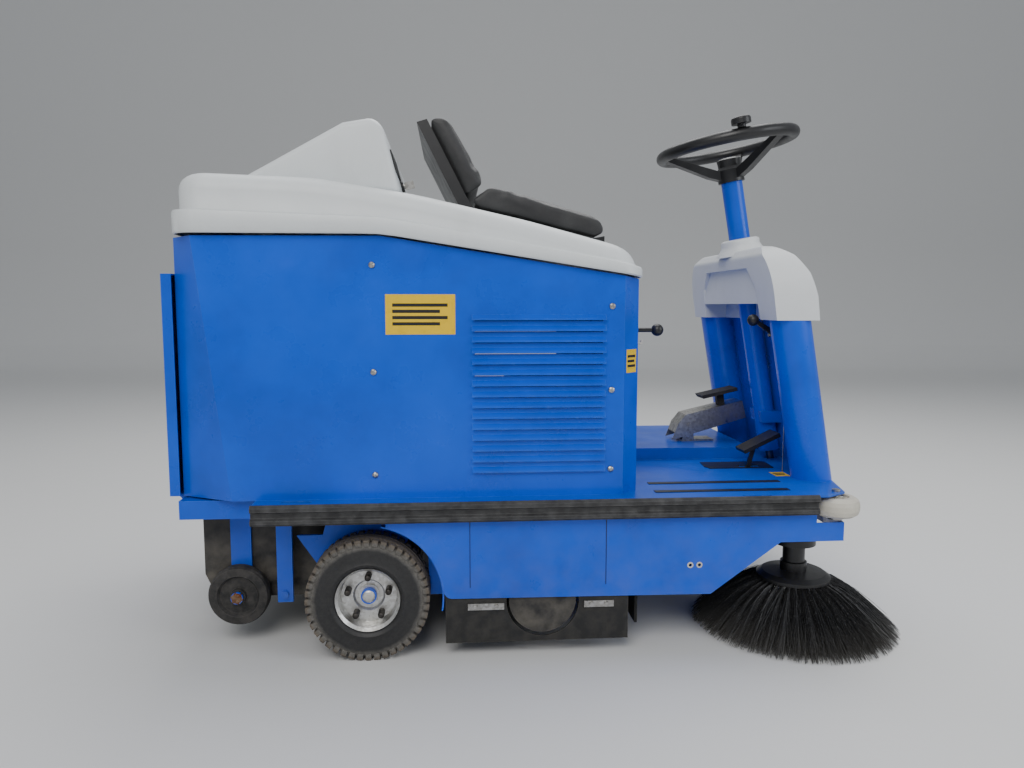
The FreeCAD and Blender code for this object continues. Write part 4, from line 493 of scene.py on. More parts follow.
class Shading:
    """A material's node tree under construction."""

    def __init__(self, name: str) -> None:
        """Start an empty material.

        Args:
            name: the material's name.
        """
        self.material = bpy.data.materials.new(name)
        self.material.use_nodes = True
        self.tree = self.material.node_tree
        self.surface = self.tree.nodes["Principled BSDF"]
        self.coordinates = self.tree.nodes.new("ShaderNodeTexCoord").outputs["Object"]

    def node(self, kind: str, **values: object) -> bpy.types.Node:
        """Add a node.

        Args:
            kind: the node's type without its prefix.
            values: properties, or inputs by name, set to values or joined to sockets.

        Returns:
            The node.
        """
        made = self.tree.nodes.new("ShaderNode" + kind)
        for key, value in values.items():
            if hasattr(made, key):
                setattr(made, key, value)
                continue
            socket = made.inputs[key.replace("_", " ")]
            if isinstance(value, bpy.types.NodeSocket):
                self.tree.links.new(value, socket)
            else:
                socket.default_value = value
        return made

    def stretched(self, scale: tuple[float, float, float]) -> bpy.types.NodeSocket:
        """The object's coordinates, scaled.

        Args:
            scale: the scale along x, y and z.

        Returns:
            The vector.
        """
        return self.node("Mapping", Vector=self.coordinates, Scale=scale).outputs["Vector"]

    def noise(
        self,
        scale: float,
        detail: float = 4,
        roughness: float = 0.55,
        vector: bpy.types.NodeSocket | None = None,
    ) -> bpy.types.NodeSocket:
        """Fractal noise.

        Args:
            scale: features per metre.
            detail: octaves.
            roughness: how strong the fine octaves are.
            vector: coordinates, the object's own if left out.

        Returns:
            The noise, about 0.5 in the middle.
        """
        made = self.node("TexNoise", Vector=vector or self.coordinates)
        made.inputs["Scale"].default_value = scale
        made.inputs["Detail"].default_value = detail
        made.inputs["Roughness"].default_value = roughness
        return made.outputs["Fac"]

    def ramp(self, factor: bpy.types.NodeSocket, stops: Stops) -> bpy.types.NodeSocket:
        """Colours along a factor.

        Args:
            factor: the factor.
            stops: (place, colour) pairs.

        Returns:
            The colour.
        """
        made = self.node("ValToRGB", Fac=factor)
        elements = made.color_ramp.elements
        while len(elements) < len(stops):
            elements.new(0.5)
        for element, (place, colour) in zip(elements, stops):
            element.position = place
            element.color = (*colour, 1)
        return made.outputs["Color"]

    def grey(self, factor: bpy.types.NodeSocket, low: Flat, high: Flat) -> bpy.types.NodeSocket:
        """A value that goes from one level to another over part of a factor.

        Args:
            factor: the factor.
            low: (place, level) where the change starts.
            high: (place, level) where it ends.

        Returns:
            The value.
        """
        made = self.node("MapRange", Value=factor)
        made.inputs["From Min"].default_value = low[0]
        made.inputs["From Max"].default_value = high[0]
        made.inputs["To Min"].default_value = low[1]
        made.inputs["To Max"].default_value = high[1]
        return made.outputs["Result"]

    def mix(
        self, factor: bpy.types.NodeSocket, first: object, second: object
    ) -> bpy.types.NodeSocket:
        """A blend of two colours.

        Args:
            factor: 0 for the first, 1 for the second.
            first: a colour or a socket.
            second: a colour or a socket.

        Returns:
            The colour.
        """
        made = self.tree.nodes.new("ShaderNodeMix")
        made.data_type = "RGBA"
        self.tree.links.new(factor, made.inputs[0])
        for socket, value in ((made.inputs[6], first), (made.inputs[7], second)):
            if isinstance(value, bpy.types.NodeSocket):
                self.tree.links.new(value, socket)
            else:
                socket.default_value = (*value, 1)
        return made.outputs[2]

    def sum(self, operation: str, first: object, second: object) -> bpy.types.NodeSocket:
        """A sum, product or other result of two values.

        Args:
            operation: Blender's name of the operation.
            first: a number or a socket.
            second: a number or a socket.

        Returns:
            The result.
        """
        made = self.node("Math", operation=operation)
        for socket, value in zip(made.inputs, (first, second)):
            if isinstance(value, bpy.types.NodeSocket):
                self.tree.links.new(value, socket)
            else:
                socket.default_value = value
        return made.outputs[0]

    def height_above(self, axis: str = "Z") -> bpy.types.NodeSocket:
        """One of the object's coordinates.

        Args:
            axis: X, Y or Z.

        Returns:
            The coordinate in metres.
        """
        return self.node("SeparateXYZ", Vector=self.coordinates).outputs[axis]

    def edges(self, radius: float) -> bpy.types.NodeSocket:
        """How near a sharp edge is.

        Args:
            radius: reach in millimetres.

        Returns:
            About 0 on flat surfaces and up to 1 on edges.
        """
        rounded = self.node("Bevel", samples=4, Radius=radius / 1000)
        plain = self.node("NewGeometry")
        likeness = self.node("VectorMath", operation="DOT_PRODUCT")
        self.tree.links.new(rounded.outputs[0], likeness.inputs[0])
        self.tree.links.new(plain.outputs["Normal"], likeness.inputs[1])
        return self.grey(likeness.outputs["Value"], (0.985, 0.0), (0.80, 1.0))

    def done(
        self,
        colour: object,
        roughness: object,
        metallic: float = 0.0,
        bump: bpy.types.NodeSocket | None = None,
        depth: float = 0.3,
        coat: float = 0.0,
        sheen: float = 0.0,
    ) -> bpy.types.Material:
        """Join everything to the surface shader.

        Args:
            colour: a colour or a socket.
            roughness: a number or a socket.
            metallic: 0 or 1.
            bump: the relief, or none.
            depth: the relief's depth in millimetres.
            coat: weight of the clear coat.
            sheen: weight of the sheen.

        Returns:
            The material.
        """
        for key, value in (("Base Color", colour), ("Roughness", roughness)):
            socket = self.surface.inputs[key]
            if isinstance(value, bpy.types.NodeSocket):
                self.tree.links.new(value, socket)
            elif key == "Base Color":
                socket.default_value = (*value, 1)
            else:
                socket.default_value = value
        self.surface.inputs["Metallic"].default_value = metallic
        self.surface.inputs["Coat Weight"].default_value = coat
        self.surface.inputs["Coat Roughness"].default_value = 0.12
        self.surface.inputs["Sheen Weight"].default_value = sheen
        if bump is not None:
            relief = self.node("Bump", Height=bump)
            relief.inputs["Distance"].default_value = depth / 1000
            self.tree.links.new(relief.outputs["Normal"], self.surface.inputs["Normal"])
        return self.material


@dataclass(frozen=True)
class Enamel:
    """Gloss enamel on sheet steel, scuffed along its edges and dusty near the ground."""

    name: str
    colour: tuple[float, float, float]
    worn: tuple[float, float, float]
    wear: float = 0.6
    dust: float = 0.25
    roughness: float = 0.27

    def make(self) -> bpy.types.Material:
        """The material."""
        s = Shading(self.name)
        cloud = s.noise(5.0, 5, 0.6)
        dark = tuple(c * 0.86 for c in self.colour)
        light = tuple(min(1.0, c * 1.08 + 0.004) for c in self.colour)
        base = s.ramp(cloud, [(0.35, dark), (0.5, self.colour), (0.68, light)])
        streak = s.noise(9.0, 8, 0.7, s.stretched((0.35, 1.0, 5.0)))
        scratches = s.grey(streak, (0.66, 0.0), (0.74, 0.18))
        base = s.mix(scratches, base, self.worn)
        chips = s.noise(60.0, 5, 0.7)
        edge = s.sum("MULTIPLY", s.edges(3.0), s.grey(chips, (0.42, 0.1), (0.62, self.wear)))
        base = s.mix(edge, base, self.worn)
        low = s.grey(s.height_above(), (0.02, 1.0), (0.36, 0.0))
        dust = s.sum("MULTIPLY", low, s.grey(s.noise(22.0, 6), (0.35, 0.0), (0.75, self.dust)))
        base = s.mix(dust, base, (0.30, 0.27, 0.22))
        shine = s.grey(s.noise(14.0, 5), (0.3, self.roughness - 0.04), (0.7, self.roughness + 0.12))
        peel = s.noise(420.0, 2, 0.4)
        s.surface.inputs["Specular IOR Level"].default_value = 0.32
        return s.done(base, s.sum("ADD", shine, dust), bump=peel, depth=0.05, coat=0.15)


@dataclass(frozen=True)
class Moulded:
    """Moulded plastic with a fine grain and grime in patches."""

    name: str
    colour: tuple[float, float, float]
    grime: tuple[float, float, float]
    roughness: float = 0.42
    grain: float = 900.0
    stain: float = 0.22

    def make(self) -> bpy.types.Material:
        """The material."""
        s = Shading(self.name)
        patches = s.grey(s.noise(7.0, 7, 0.65), (0.45, 0.0), (0.85, self.stain))
        runs = s.noise(16.0, 5, 0.6, s.stretched((1.0, 1.0, 0.18)))
        patches = s.sum("ADD", patches, s.grey(runs, (0.58, 0.0), (0.85, self.stain * 0.7)))
        base = s.mix(patches, self.colour, self.grime)
        scuff = s.sum("MULTIPLY", s.edges(2.5), s.grey(s.noise(50.0, 4), (0.45, 0.0), (0.7, 0.5)))
        base = s.mix(scuff, base, tuple(min(1.0, c * 1.25 + 0.05) for c in self.colour))
        shine = s.grey(s.noise(20.0, 5), (0.3, self.roughness - 0.06), (0.7, self.roughness + 0.12))
        return s.done(base, shine, bump=s.noise(self.grain, 3, 0.6), depth=0.06)


@dataclass(frozen=True)
class Rubber:
    """Matt rubber, paler where dust clings to it."""

    name: str
    colour: tuple[float, float, float]
    dusty: tuple[float, float, float]
    dust: float = 0.5
    roughness: float = 0.72
    stretch: tuple[float, float, float] = (1.0, 1.0, 1.0)

    def make(self) -> bpy.types.Material:
        """The material."""
        s = Shading(self.name)
        fine = s.noise(38.0, 8, 0.7, s.stretched(self.stretch))
        amount = s.grey(fine, (0.40, 0.0), (0.78, self.dust))
        worn = s.sum("MULTIPLY", s.edges(3.0), 0.35)
        base = s.mix(s.sum("ADD", amount, worn), self.colour, self.dusty)
        shine = s.grey(fine, (0.35, self.roughness - 0.12), (0.7, self.roughness + 0.12))
        return s.done(base, shine, bump=s.noise(700.0, 4, 0.7), depth=0.12)


@dataclass(frozen=True)
class TyreRubber:
    """Tyre rubber in rings: dark by the rim, a dusty pale shoulder and a brownish tread."""

    name: str
    centre: Vector
    shoulder: float
    tread: float

    def make(self) -> bpy.types.Material:
        """The material."""
        s = Shading(self.name)
        offset = s.node("VectorMath", operation="SUBTRACT")
        s.tree.links.new(s.coordinates, offset.inputs[0])
        offset.inputs[1].default_value = self.centre
        flat = s.node("VectorMath", operation="MULTIPLY")
        s.tree.links.new(offset.outputs[0], flat.inputs[0])
        flat.inputs[1].default_value = (1000.0, 0.0, 1000.0)
        length = s.node("VectorMath", operation="LENGTH")
        s.tree.links.new(flat.outputs[0], length.inputs[0])
        wobble = s.grey(s.noise(30.0, 6, 0.7), (0.2, -4.0), (0.8, 4.0))
        radius = s.sum("ADD", length.outputs["Value"], wobble)
        outer = s.grey(radius, (self.shoulder - 5, 0.0), (self.shoulder + 4, 1.0))
        top = s.grey(radius, (self.tread - 5, 0.0), (self.tread, 1.0))
        speck = s.grey(s.noise(150.0, 6, 0.75), (0.35, 0.0), (0.75, 1.0))
        base = s.mix(speck, (0.012, 0.012, 0.013), (0.030, 0.029, 0.028))
        base = s.mix(outer, base, s.mix(speck, (0.085, 0.080, 0.072), (0.165, 0.155, 0.14)))
        base = s.mix(top, base, s.mix(speck, (0.075, 0.062, 0.05), (0.17, 0.145, 0.115)))
        shine = s.grey(outer, (0.0, 0.52), (1.0, 0.88))
        return s.done(base, shine, bump=s.noise(600.0, 5, 0.7), depth=0.15)


@dataclass(frozen=True)
class Metal:
    """Bare or plated metal with cloudy tarnish and some rust."""

    name: str
    colour: tuple[float, float, float]
    tarnish: tuple[float, float, float]
    rust: float = 0.0
    roughness: float = 0.35
    metallic: float = 1.0

    def make(self) -> bpy.types.Material:
        """The material."""
        s = Shading(self.name)
        cells = s.node("TexVoronoi", Vector=s.coordinates, Scale=160.0).outputs["Color"]
        tone = s.node("RGBToBW", Color=cells).outputs[0]
        cloud = s.sum("MULTIPLY", s.sum("ADD", tone, s.noise(30.0, 6, 0.7)), 0.6)
        base = s.mix(s.grey(cloud, (0.25, 0.0), (0.85, 1.0)), self.colour, self.tarnish)
        start, full = 0.72 - self.rust * 0.35, 0.80 - self.rust * 0.3
        spots = s.grey(s.noise(70.0, 8, 0.75), (start, 0.0), (full, 1.0))
        base = s.mix(s.sum("MULTIPLY", spots, min(1.0, self.rust * 2)), base, (0.17, 0.065, 0.028))
        shine = s.grey(cloud, (0.2, self.roughness - 0.08), (0.9, self.roughness + 0.15))
        return s.done(base, shine, self.metallic, s.noise(500.0, 3), 0.04)


@dataclass(frozen=True)
class Vinyl:
    """Grained upholstery vinyl, greyer where it is worn."""

    name: str
    colour: tuple[float, float, float]
    worn: tuple[float, float, float]

    def make(self) -> bpy.types.Material:
        """The material."""
        s = Shading(self.name)
        warp = s.node("VectorMath", operation="ADD")
        wobble = s.node("TexNoise", Vector=s.coordinates, Scale=90.0).outputs["Color"]
        s.tree.links.new(s.coordinates, warp.inputs[0])
        small = s.node("VectorMath", operation="SCALE", Scale=0.003)
        s.tree.links.new(wobble, small.inputs[0])
        s.tree.links.new(small.outputs[0], warp.inputs[1])
        cells = s.node("TexVoronoi", feature="DISTANCE_TO_EDGE", Vector=warp.outputs[0], Scale=420.0)
        grain = s.grey(cells.outputs["Distance"], (0.0, 0.0), (0.16, 1.0))
        wear = s.grey(s.noise(11.0, 6, 0.65), (0.42, 0.0), (0.75, 0.75))
        base = s.mix(wear, self.colour, self.worn)
        base = s.mix(s.grey(grain, (0.0, 0.35), (0.6, 0.0)), base, (0.006, 0.006, 0.006))
        shine = s.grey(wear, (0.0, 0.36), (0.7, 0.52))
        return s.done(base, shine, bump=grain, depth=0.16, sheen=0.15)


@dataclass(frozen=True)
class Nylon:
    """Dark bristles, each with its own shade and dusty tips."""

    name: str
    tips: float

    def make(self) -> bpy.types.Material:
        """The material."""
        s = Shading(self.name)
        shade = s.noise(260.0, 2, 0.5)
        shades = [(0.30, (0.012, 0.012, 0.013)), (0.55, (0.032, 0.032, 0.034)), (0.75, (0.12, 0.12, 0.12))]
        base = s.ramp(shade, shades)
        low = s.grey(s.height_above(), (0.0, self.tips), (0.06, 0.0))
        base = s.mix(low, base, (0.10, 0.095, 0.085))
        return s.done(base, 0.38)


@dataclass(frozen=True)
class Sticker:
    """A printed film in one colour, dirty in patches."""

    name: str
    colour: tuple[float, float, float]

    def make(self) -> bpy.types.Material:
        """The material."""
        s = Shading(self.name)
        dirt = s.grey(s.noise(60.0, 7, 0.7), (0.5, 0.0), (0.85, 0.5))
        base = s.mix(dirt, self.colour, tuple(c * 0.55 for c in self.colour))
        return s.done(base, 0.38, bump=s.noise(300.0, 2), depth=0.02)


# ------------------------------------------------------------------ machine


PALETTE = {
    "blue_paint": Enamel("blue_enamel", (0.0, 0.082, 0.62), (0.10, 0.27, 0.68), 0.5, 0.18),
    "deck_paint": Enamel("deck_enamel", (0.0, 0.085, 0.55), (0.14, 0.27, 0.55), 0.8, 0.35, 0.32),
    "frame_paint": Enamel("black_enamel", (0.014, 0.014, 0.015), (0.12, 0.11, 0.10), 0.5, 0.5, 0.4),
    "hopper_paint": Enamel("bin_enamel", (0.012, 0.012, 0.013), (0.13, 0.12, 0.11), 0.6, 0.7, 0.42),
    "hood_plastic": Moulded("hood_plastic", (0.66, 0.69, 0.70), (0.42, 0.42, 0.40)),
    "cap_plastic": Moulded("cap_plastic", (0.69, 0.71, 0.72), (0.42, 0.42, 0.42)),
    "black_plastic": Moulded("black_plastic", (0.013, 0.013, 0.014), (0.06, 0.058, 0.055), 0.34),
    "battery_case": Moulded("battery_case", (0.03, 0.03, 0.032), (0.10, 0.095, 0.09), 0.5),
    "roller_plastic": Moulded("roller_plastic", (0.58, 0.55, 0.47), (0.20, 0.17, 0.13), 0.5, 300, 0.6),
    "strip_rubber": Rubber("strip_rubber", (0.016, 0.016, 0.017), (0.22, 0.22, 0.22), 0.35),
    "flap_rubber": Rubber("flap_rubber", (0.009, 0.009, 0.009), (0.10, 0.092, 0.08), 0.4),
    "tyre_rubber": Rubber("tyre_rubber", (0.012, 0.012, 0.012), (0.12, 0.11, 0.10), 0.7, 0.8),
    "belt_rubber": Rubber("belt_rubber", (0.010, 0.010, 0.010), (0.08, 0.08, 0.08), 0.3),
    "rim_steel": Metal("rim_silver", (0.74, 0.74, 0.73), (0.52, 0.51, 0.48), 0.1, 0.40),
    "plated_steel": Metal("plated_steel", (0.55, 0.54, 0.52), (0.32, 0.31, 0.29), 0.25, 0.32),
    "core_steel": Metal("core_steel", (0.30, 0.30, 0.29), (0.18, 0.17, 0.16), 0.4, 0.45),
    "impeller_metal": Metal("impeller_metal", (0.50, 0.50, 0.50), (0.36, 0.36, 0.35), 0.0, 0.4),
    "bristle": Nylon("bristle", 0.7),
    "vinyl": Vinyl("seat_vinyl", (0.011, 0.011, 0.012), (0.050, 0.050, 0.050)),
}


def paint_nodes(nodes: dict[str, bpy.types.Object], finishes: Finishes) -> None:
    """Give every node of the frame the finish of its slot.

    Args:
        nodes: the frame's meshes by name.
        finishes: materials by slot.
    """
    for piece in nodes.values():
        for slot in piece.material_slots:
            slot.material = finishes[slot.material.name.split(".")[0]]


def lay_floor() -> None:
    """Lay a pale studio floor that curves up far behind the machine."""
    finish = Moulded("studio_floor", (0.66, 0.66, 0.65), (0.60, 0.60, 0.59), 0.75, 60, 0.1).make()
    turn = Matrix.Rotation(math.radians(-4.3), 4, "Z")
    profile = [(-14.0, 0.0), (6.0, 0.0), (6.6, 0.1), (7.0, 0.5), (7.2, 1.1), (7.2, 8.0)]
    line = [turn @ Vector((-14, y, z)) for y, z in profile]
    floor = chain("studio_floor", line)
    bpy.ops.mesh.extrude_region_move(TRANSFORM_OT_translate={"value": turn @ Vector((28, 0, 0))})
    bpy.ops.object.mode_set(mode="OBJECT")
    modify(floor, "BEVEL", width=0.35, segments=8, limit_method="NONE")
    smooth(floor, 60)
    floor.data.materials.append(finish)


def add_lamp(
    name: str, place: Vector, aim: Vector, size: float, power: float, tint: tuple[float, float, float]
) -> None:
    """Hang a soft square lamp.

    Args:
        name: the lamp's name.
        place: where it hangs, in metres.
        aim: what it points at.
        size: its side in metres.
        power: its power in watts.
        tint: its colour.
    """
    clear_selection()
    bpy.ops.object.light_add(type="AREA", location=place)
    lamp = bpy.context.object
    lamp.name = name
    lamp.data.size = size
    lamp.data.energy = power
    lamp.data.color = tint
    lamp.rotation_euler = (aim - place).to_track_quat("-Z", "Y").to_euler()


def set_camera() -> None:
    """Stand the camera at the machine's right side, looking slightly down."""
    clear_selection()
    bpy.ops.object.camera_add(location=(-0.2075, -1.945, 0.744))
    camera = bpy.context.object
    camera.name = "camera"
    camera.data.lens = 27.07
    camera.data.sensor_width = 36
    camera.rotation_euler = (math.radians(90 - 5.77), 0, math.radians(-4.3))
    bpy.context.scene.camera = camera


def light_studio() -> None:
    """Hang the lamps and set the room's even light."""
    aim = Vector((0, 0, 0.5))
    add_lamp("key_lamp", Vector((-1.2, -3.6, 3.6)), aim, 2.6, 120, (1.0, 0.98, 0.95))
    add_lamp("fill_lamp", Vector((3.6, -2.4, 2.2)), aim, 2.4, 60, (0.93, 0.96, 1.0))
    add_lamp("top_lamp", Vector((0.4, 1.4, 4.2)), aim, 3.4, 130, (1.0, 1.0, 1.0))
    world = bpy.data.worlds.new("studio_room")
    world.use_nodes = True
    world.node_tree.nodes["Background"].inputs["Color"].default_value = (0.80, 0.84, 0.90, 1)
    world.node_tree.nodes["Background"].inputs["Strength"].default_value = 0.48
    bpy.context.scene.world = world


# ------------------------------------------------------------------ sub-assemblies


@dataclass
class Hood:
    """Moulded hood: an overhanging lip, a softly rolled top and the console wedge behind the seat."""

    rear: float = -388.0
    front: float = 590.0
    half: float = 390.0
    step: float = 14.0
    corner: float = 60.0
    roll: float = 36.0
    wall: float = 4.0
    console_half: float = 322.0
    bottom: tuple[Flat, ...] = ((-388, 890), (39, 890), (590, 804))
    lip: tuple[Flat, ...] = ((-388, 938), (46, 923), (296, 879), (590, 826))
    top: tuple[Flat, ...] = (
        (-388, 1014),
        (-344, 1014),
        (-96, 1006),
        (111, 974),
        (338, 924),
        (552, 868),
        (590, 856),
    )
    console: tuple[Flat, ...] = (
        (-261, 1004),
        (-43, 1125),
        (17, 1136),
        (40, 1120),
        (76, 979),
        (-96, 990),
    )

    def loop(self, draw: Drawing, inset: float, height: Callable[[float], float]) -> list[Vector]:
        """One contour of the shell.

        Args:
            draw: the drawing.
            inset: how far it lies inside the lip, in millimetres.
            height: z over x.

        Returns:
            The contour's points.
        """
        radius = max(self.corner - inset * 0.5, 12)
        plan = rounded_plan(self.rear + inset, self.front - inset, self.half - inset, radius)
        return [draw.at(x, y, height(x)) for x, y in plan]

    def shell(self, draw: Drawing) -> bpy.types.Object:
        """The open shell from the lip's lower edge to the middle of the top.

        Args:
            draw: the drawing.

        Returns:
            The shell with its wall.
        """
        low = straight_through(self.bottom)
        brim = straight_through(self.lip)
        crown = straight_through(self.top)
        loops = [self.loop(draw, 3, low), self.loop(draw, 0, lambda x: low(x) + 3)]
        loops.append(self.loop(draw, 0, lambda x: brim(x) - 6))
        loops.append(self.loop(draw, 2, lambda x: brim(x) - 1))
        loops.append(self.loop(draw, 6, brim))
        loops.append(self.loop(draw, self.step - 2, lambda x: brim(x) + 1))
        loops.append(self.loop(draw, self.step, lambda x: brim(x) + 4))
        for i in range(8):
            turn = math.radians(90 * i / 7)
            inset = self.step + self.roll * (1 - math.cos(turn))
            drop = self.roll * (1 - math.sin(turn))
            loops.append(self.loop(draw, inset, lambda x, d=drop: max(crown(x) - d, brim(x) + 5)))
        rim = loops[-1]
        for share in (0.8, 0.55, 0.3, 0.1, 0.0):
            loops.append([Vector((p.x, draw.y + (p.y - draw.y) * share, p.z)) for p in rim])
        shell = stack("hood_moulding", loops, closed=False)
        return modify(shell, "SOLIDIFY", thickness=self.wall / 1000, offset=-1)

    def build(self, draw: Drawing, finishes: Finishes) -> None:
        """Make the hood and stand it in for the frame's shell."""
        shell = smooth(self.shell(draw), 50)
        outline = [draw.at(x, -self.console_half, z) for x, z in self.console]
        wedge = prism("console_wedge", outline, Vector((0, self.console_half / 500, 0)))
        soften(wedge, 20, 6, 20)
        smooth(wedge, 60)
        hood = joined("hood_moulding", [shell, wedge])
        set_down(hood, finishes["hood_plastic"], "hood_plastic", "hood", "hood_shell")


def straight_through(points: Sequence[Flat]) -> Callable[[float], float]:
    """A height over x along straight lines with eased corners.

    Args:
        points: (x, z) pairs in order of x.

    Returns:
        A function from x to z.
    """

    def line(x: float) -> float:
        """The height at x on the plain lines."""
        for a, b in zip(points, points[1:]):
            if x <= b[0]:
                return a[1] + (b[1] - a[1]) * (x - a[0]) / (b[0] - a[0])
        return points[-1][1]

    def eased(x: float) -> float:
        """The height at x, averaged over a short reach."""
        reach = min(24.0, x - points[0][0], points[-1][0] - x)
        if reach <= 1:
            return line(x)
        return sum(line(x + reach * i / 3) for i in range(-3, 4)) / 7

    return eased


@dataclass
class Cushion:
    """Stuffed vinyl seat part, blown up in a cloth simulation from a slightly small solid."""

    name: str
    node: str
    outline: tuple[Flat, ...]
    half: float
    pleats: tuple[Flat, ...]
    limit: float = 0.007

    def blank(self, draw: Drawing) -> bpy.types.Object:
        """The solid before it is blown up.

        Args:
            draw: the drawing.

        Returns:
            The evenly meshed blank.
        """
        corners = [draw.at(x, -self.half, z) for x, z in self.outline]
        blank = prism(self.name, corners, Vector((0, self.half / 500, 0)))
        soften(blank, 9, 3, 20)
        modify(blank, "REMESH", mode="VOXEL", voxel_size=0.0055)
        return modify(blank, "DISPLACE", strength=-0.003, mid_level=0.0)

    def inflate(self, blank: bpy.types.Object) -> None:
        """Blow the blank up in a short cloth simulation, with its growth capped.

        Args:
            blank: the blank.
        """
        before = [vert.co.copy() for vert in blank.data.vertices]
        choose(blank)
        cloth = blank.modifiers.new("Cloth", "CLOTH")
        cloth.settings.use_pressure = True
        cloth.settings.uniform_pressure_force = 4
        cloth.settings.effector_weights.gravity = 0
        cloth.settings.quality = 4
        cloth.point_cache.frame_end = 20
        for frame in range(1, 21):
            bpy.context.scene.frame_set(frame)
        bpy.ops.object.modifier_apply(modifier=cloth.name)
        bpy.context.scene.frame_set(1)
        for vert, start in zip(blank.data.vertices, before):
            step = vert.co - start
            if step.length > self.limit:
                vert.co = start + step.normalized() * self.limit

    def press_pleats(self, piece: bpy.types.Object, draw: Drawing) -> None:
        """Sink the sewn pleats across the cushion.

        Args:
            piece: the cushion.
            draw: the drawing.
        """
        for x, z in self.pleats:
            crease = draw.at(x, 0, z)
            for vert in piece.data.vertices:
                away = math.hypot(vert.co.x - crease.x, vert.co.z - crease.z)
                if away < 0.016:
                    vert.co -= vert.normal * 0.0035 * (1 - away / 0.016) ** 0.7

    def build(self, draw: Drawing, finishes: Finishes) -> None:
        """Make the cushion and stand it in for the frame's solid."""
        piece = self.blank(draw)
        self.inflate(piece)
        self.press_pleats(piece, draw)
        modify(piece, "SMOOTH", factor=0.5, iterations=4)
        modify(piece, "SUBSURF", levels=1)
        smooth(piece, 180)
        set_down(piece, finishes["vinyl"], "vinyl", "hood", self.node)


@dataclass
class RearWheel:
    """Cushion tyre with shoulder blocks round it, and the domed bolts of its rim."""

    side: Side
    middle: float = 367.5
    height: float = 130.0
    radius: float = 130.0
    groove: float = 124.0
    half: float = 42.5
    rim: float = 68.5
    blocks: int = 44
    bolt_ring: float = 45.0

    def tyre(self, draw: Drawing) -> bpy.types.Object:
        """The tyre with its tread.

        Args:
            draw: the drawing.

        Returns:
            The tyre.
        """
        centre = draw.at(0, self.side.value * self.middle, self.height)
        r, g, w = self.radius, self.groove, self.half
        flank = [(self.rim, w - 8), (self.rim + 3, w - 3), (78, w), (84, w - 2.5)]
        flank += [(100, w - 1), (112, w - 1), (g - 6, w - 4)]
        tread = [(g, w - 9), (g, 20), (r - 1, 18), (r, 16), (r, 4), (g + 1, 2.5)]
        half = flank + tread
        profile = half + [(radius, -a) for radius, a in reversed(half)] + [half[0]]
        body = smooth(lathe("tyre_body", profile, centre, Vector((0, 1, 0)), 96), 35)
        pieces = [body]
        step = 2 * math.pi / self.blocks
        for sign in (1, -1):
            block = self.shoulder_block(centre, sign, step)
            for i in range(1, self.blocks):
                pieces.append(turned(block, "tread_block", centre, Vector((0, 1, 0)), i * step))
            pieces.append(block)
        return joined(f"rear_tyre_tread_{self.side.word}", pieces)

    def shoulder_block(self, centre: Vector, sign: int, step: float) -> bpy.types.Object:
        """One block of the tread's shoulder.

        Args:
            centre: the wheel's middle.
            sign: 1 for the left shoulder, -1 for the right one.
            step: angle from one block to the next.

        Returns:
            The block, bevelled.
        """
        start, end = -0.36 * step, 0.36 * step
        rim = [start + (end - start) * i / 3 for i in range(4)]
        inner = [(self.groove - 8, a) for a in reversed(rim)]
        ring = [(self.radius, a) for a in rim] + inner
        points = [centre + Vector((math.sin(a) * r, 0, math.cos(a) * r)) / 1000 for r, a in ring]
        points = [p + Vector((0, sign * (self.half - 20) / 1000, 0)) for p in points]
        block = prism("tread_block", points, Vector((0, sign * 0.0185, 0)))
        return smooth(soften(block, 1.6, 2, 40), 50)

    def bolts(self, draw: Drawing) -> bpy.types.Object:
        """The five wheel bolts with domed heads.

        Args:
            draw: the drawing.

        Returns:
            The bolts in one piece.
        """
        face = self.side.value * (self.middle + 26)
        out = Vector((0, self.side.value, 0))
        hub = draw.at(0, face, self.height)
        spot = draw.at(0, face, self.height + self.bolt_ring)
        dome = [(0, 6.5), (3, 6.3), (5.4, 5.2), (6.6, 3), (7, 0), (7, -22), (0, -22)]
        head = lathe("wheel_bolt", dome, spot, out, 20)
        pieces = [turned(head, "wheel_bolt", hub, Vector((0, 1, 0)), i * math.tau / 5) for i in range(1, 5)]
        return smooth(joined(f"wheel_bolts_{self.side.word}", [head] + pieces), 40)

    def build(self, draw: Drawing, finishes: Finishes) -> None:
        """Make the tyre and bolts of this side."""
        body = f"rear_wheel_{self.side.word}"
        centre = draw.at(0, self.side.value * self.middle, self.height)
        rubber = TyreRubber(f"rear_tyre_{self.side.word}", centre, 112, self.groove + 2).make()
        set_down(self.tyre(draw), rubber, "tyre_rubber", body, f"rear_tyre_{self.side.word}")
        bolt = finishes["dark_bolt"]
        set_down(self.bolts(draw), bolt, "plated_steel", body)


@dataclass
class Bristles:
    """Fields of fine tapering strands."""

    strands: list[list[Vector]]
    thickness: float

    def mesh(self, name: str) -> bpy.types.Object:
        """All strands as three-sided spikes in one mesh.

        Args:
            name: the new object's name.

        Returns:
            The mesh.
        """
        points: list[Vector] = []
        faces: list[tuple[int, ...]] = []
        for line in self.strands:
            first = len(points)
            axis = (line[-1] - line[0]).normalized()
            side = axis.orthogonal().normalized()
            other = axis.cross(side)
            for i, place in enumerate(line):
                wide = self.thickness / 1000 * (1 - 0.45 * i / (len(line) - 1))
                for k in range(3):
                    angle = k * math.tau / 3
                    points.append(place + (side * math.cos(angle) + other * math.sin(angle)) * wide)
            for i in range(len(line) - 1):
                for k in range(3):
                    low = first + 3 * i
                    faces.append((low + k, low + (k + 1) % 3, low + 3 + (k + 1) % 3, low + 3 + k))
            faces.append((first + 2, first + 1, first))
            last = first + 3 * (len(line) - 1)
            faces.append((last, last + 1, last + 2))
        return from_faces(name, points, faces)


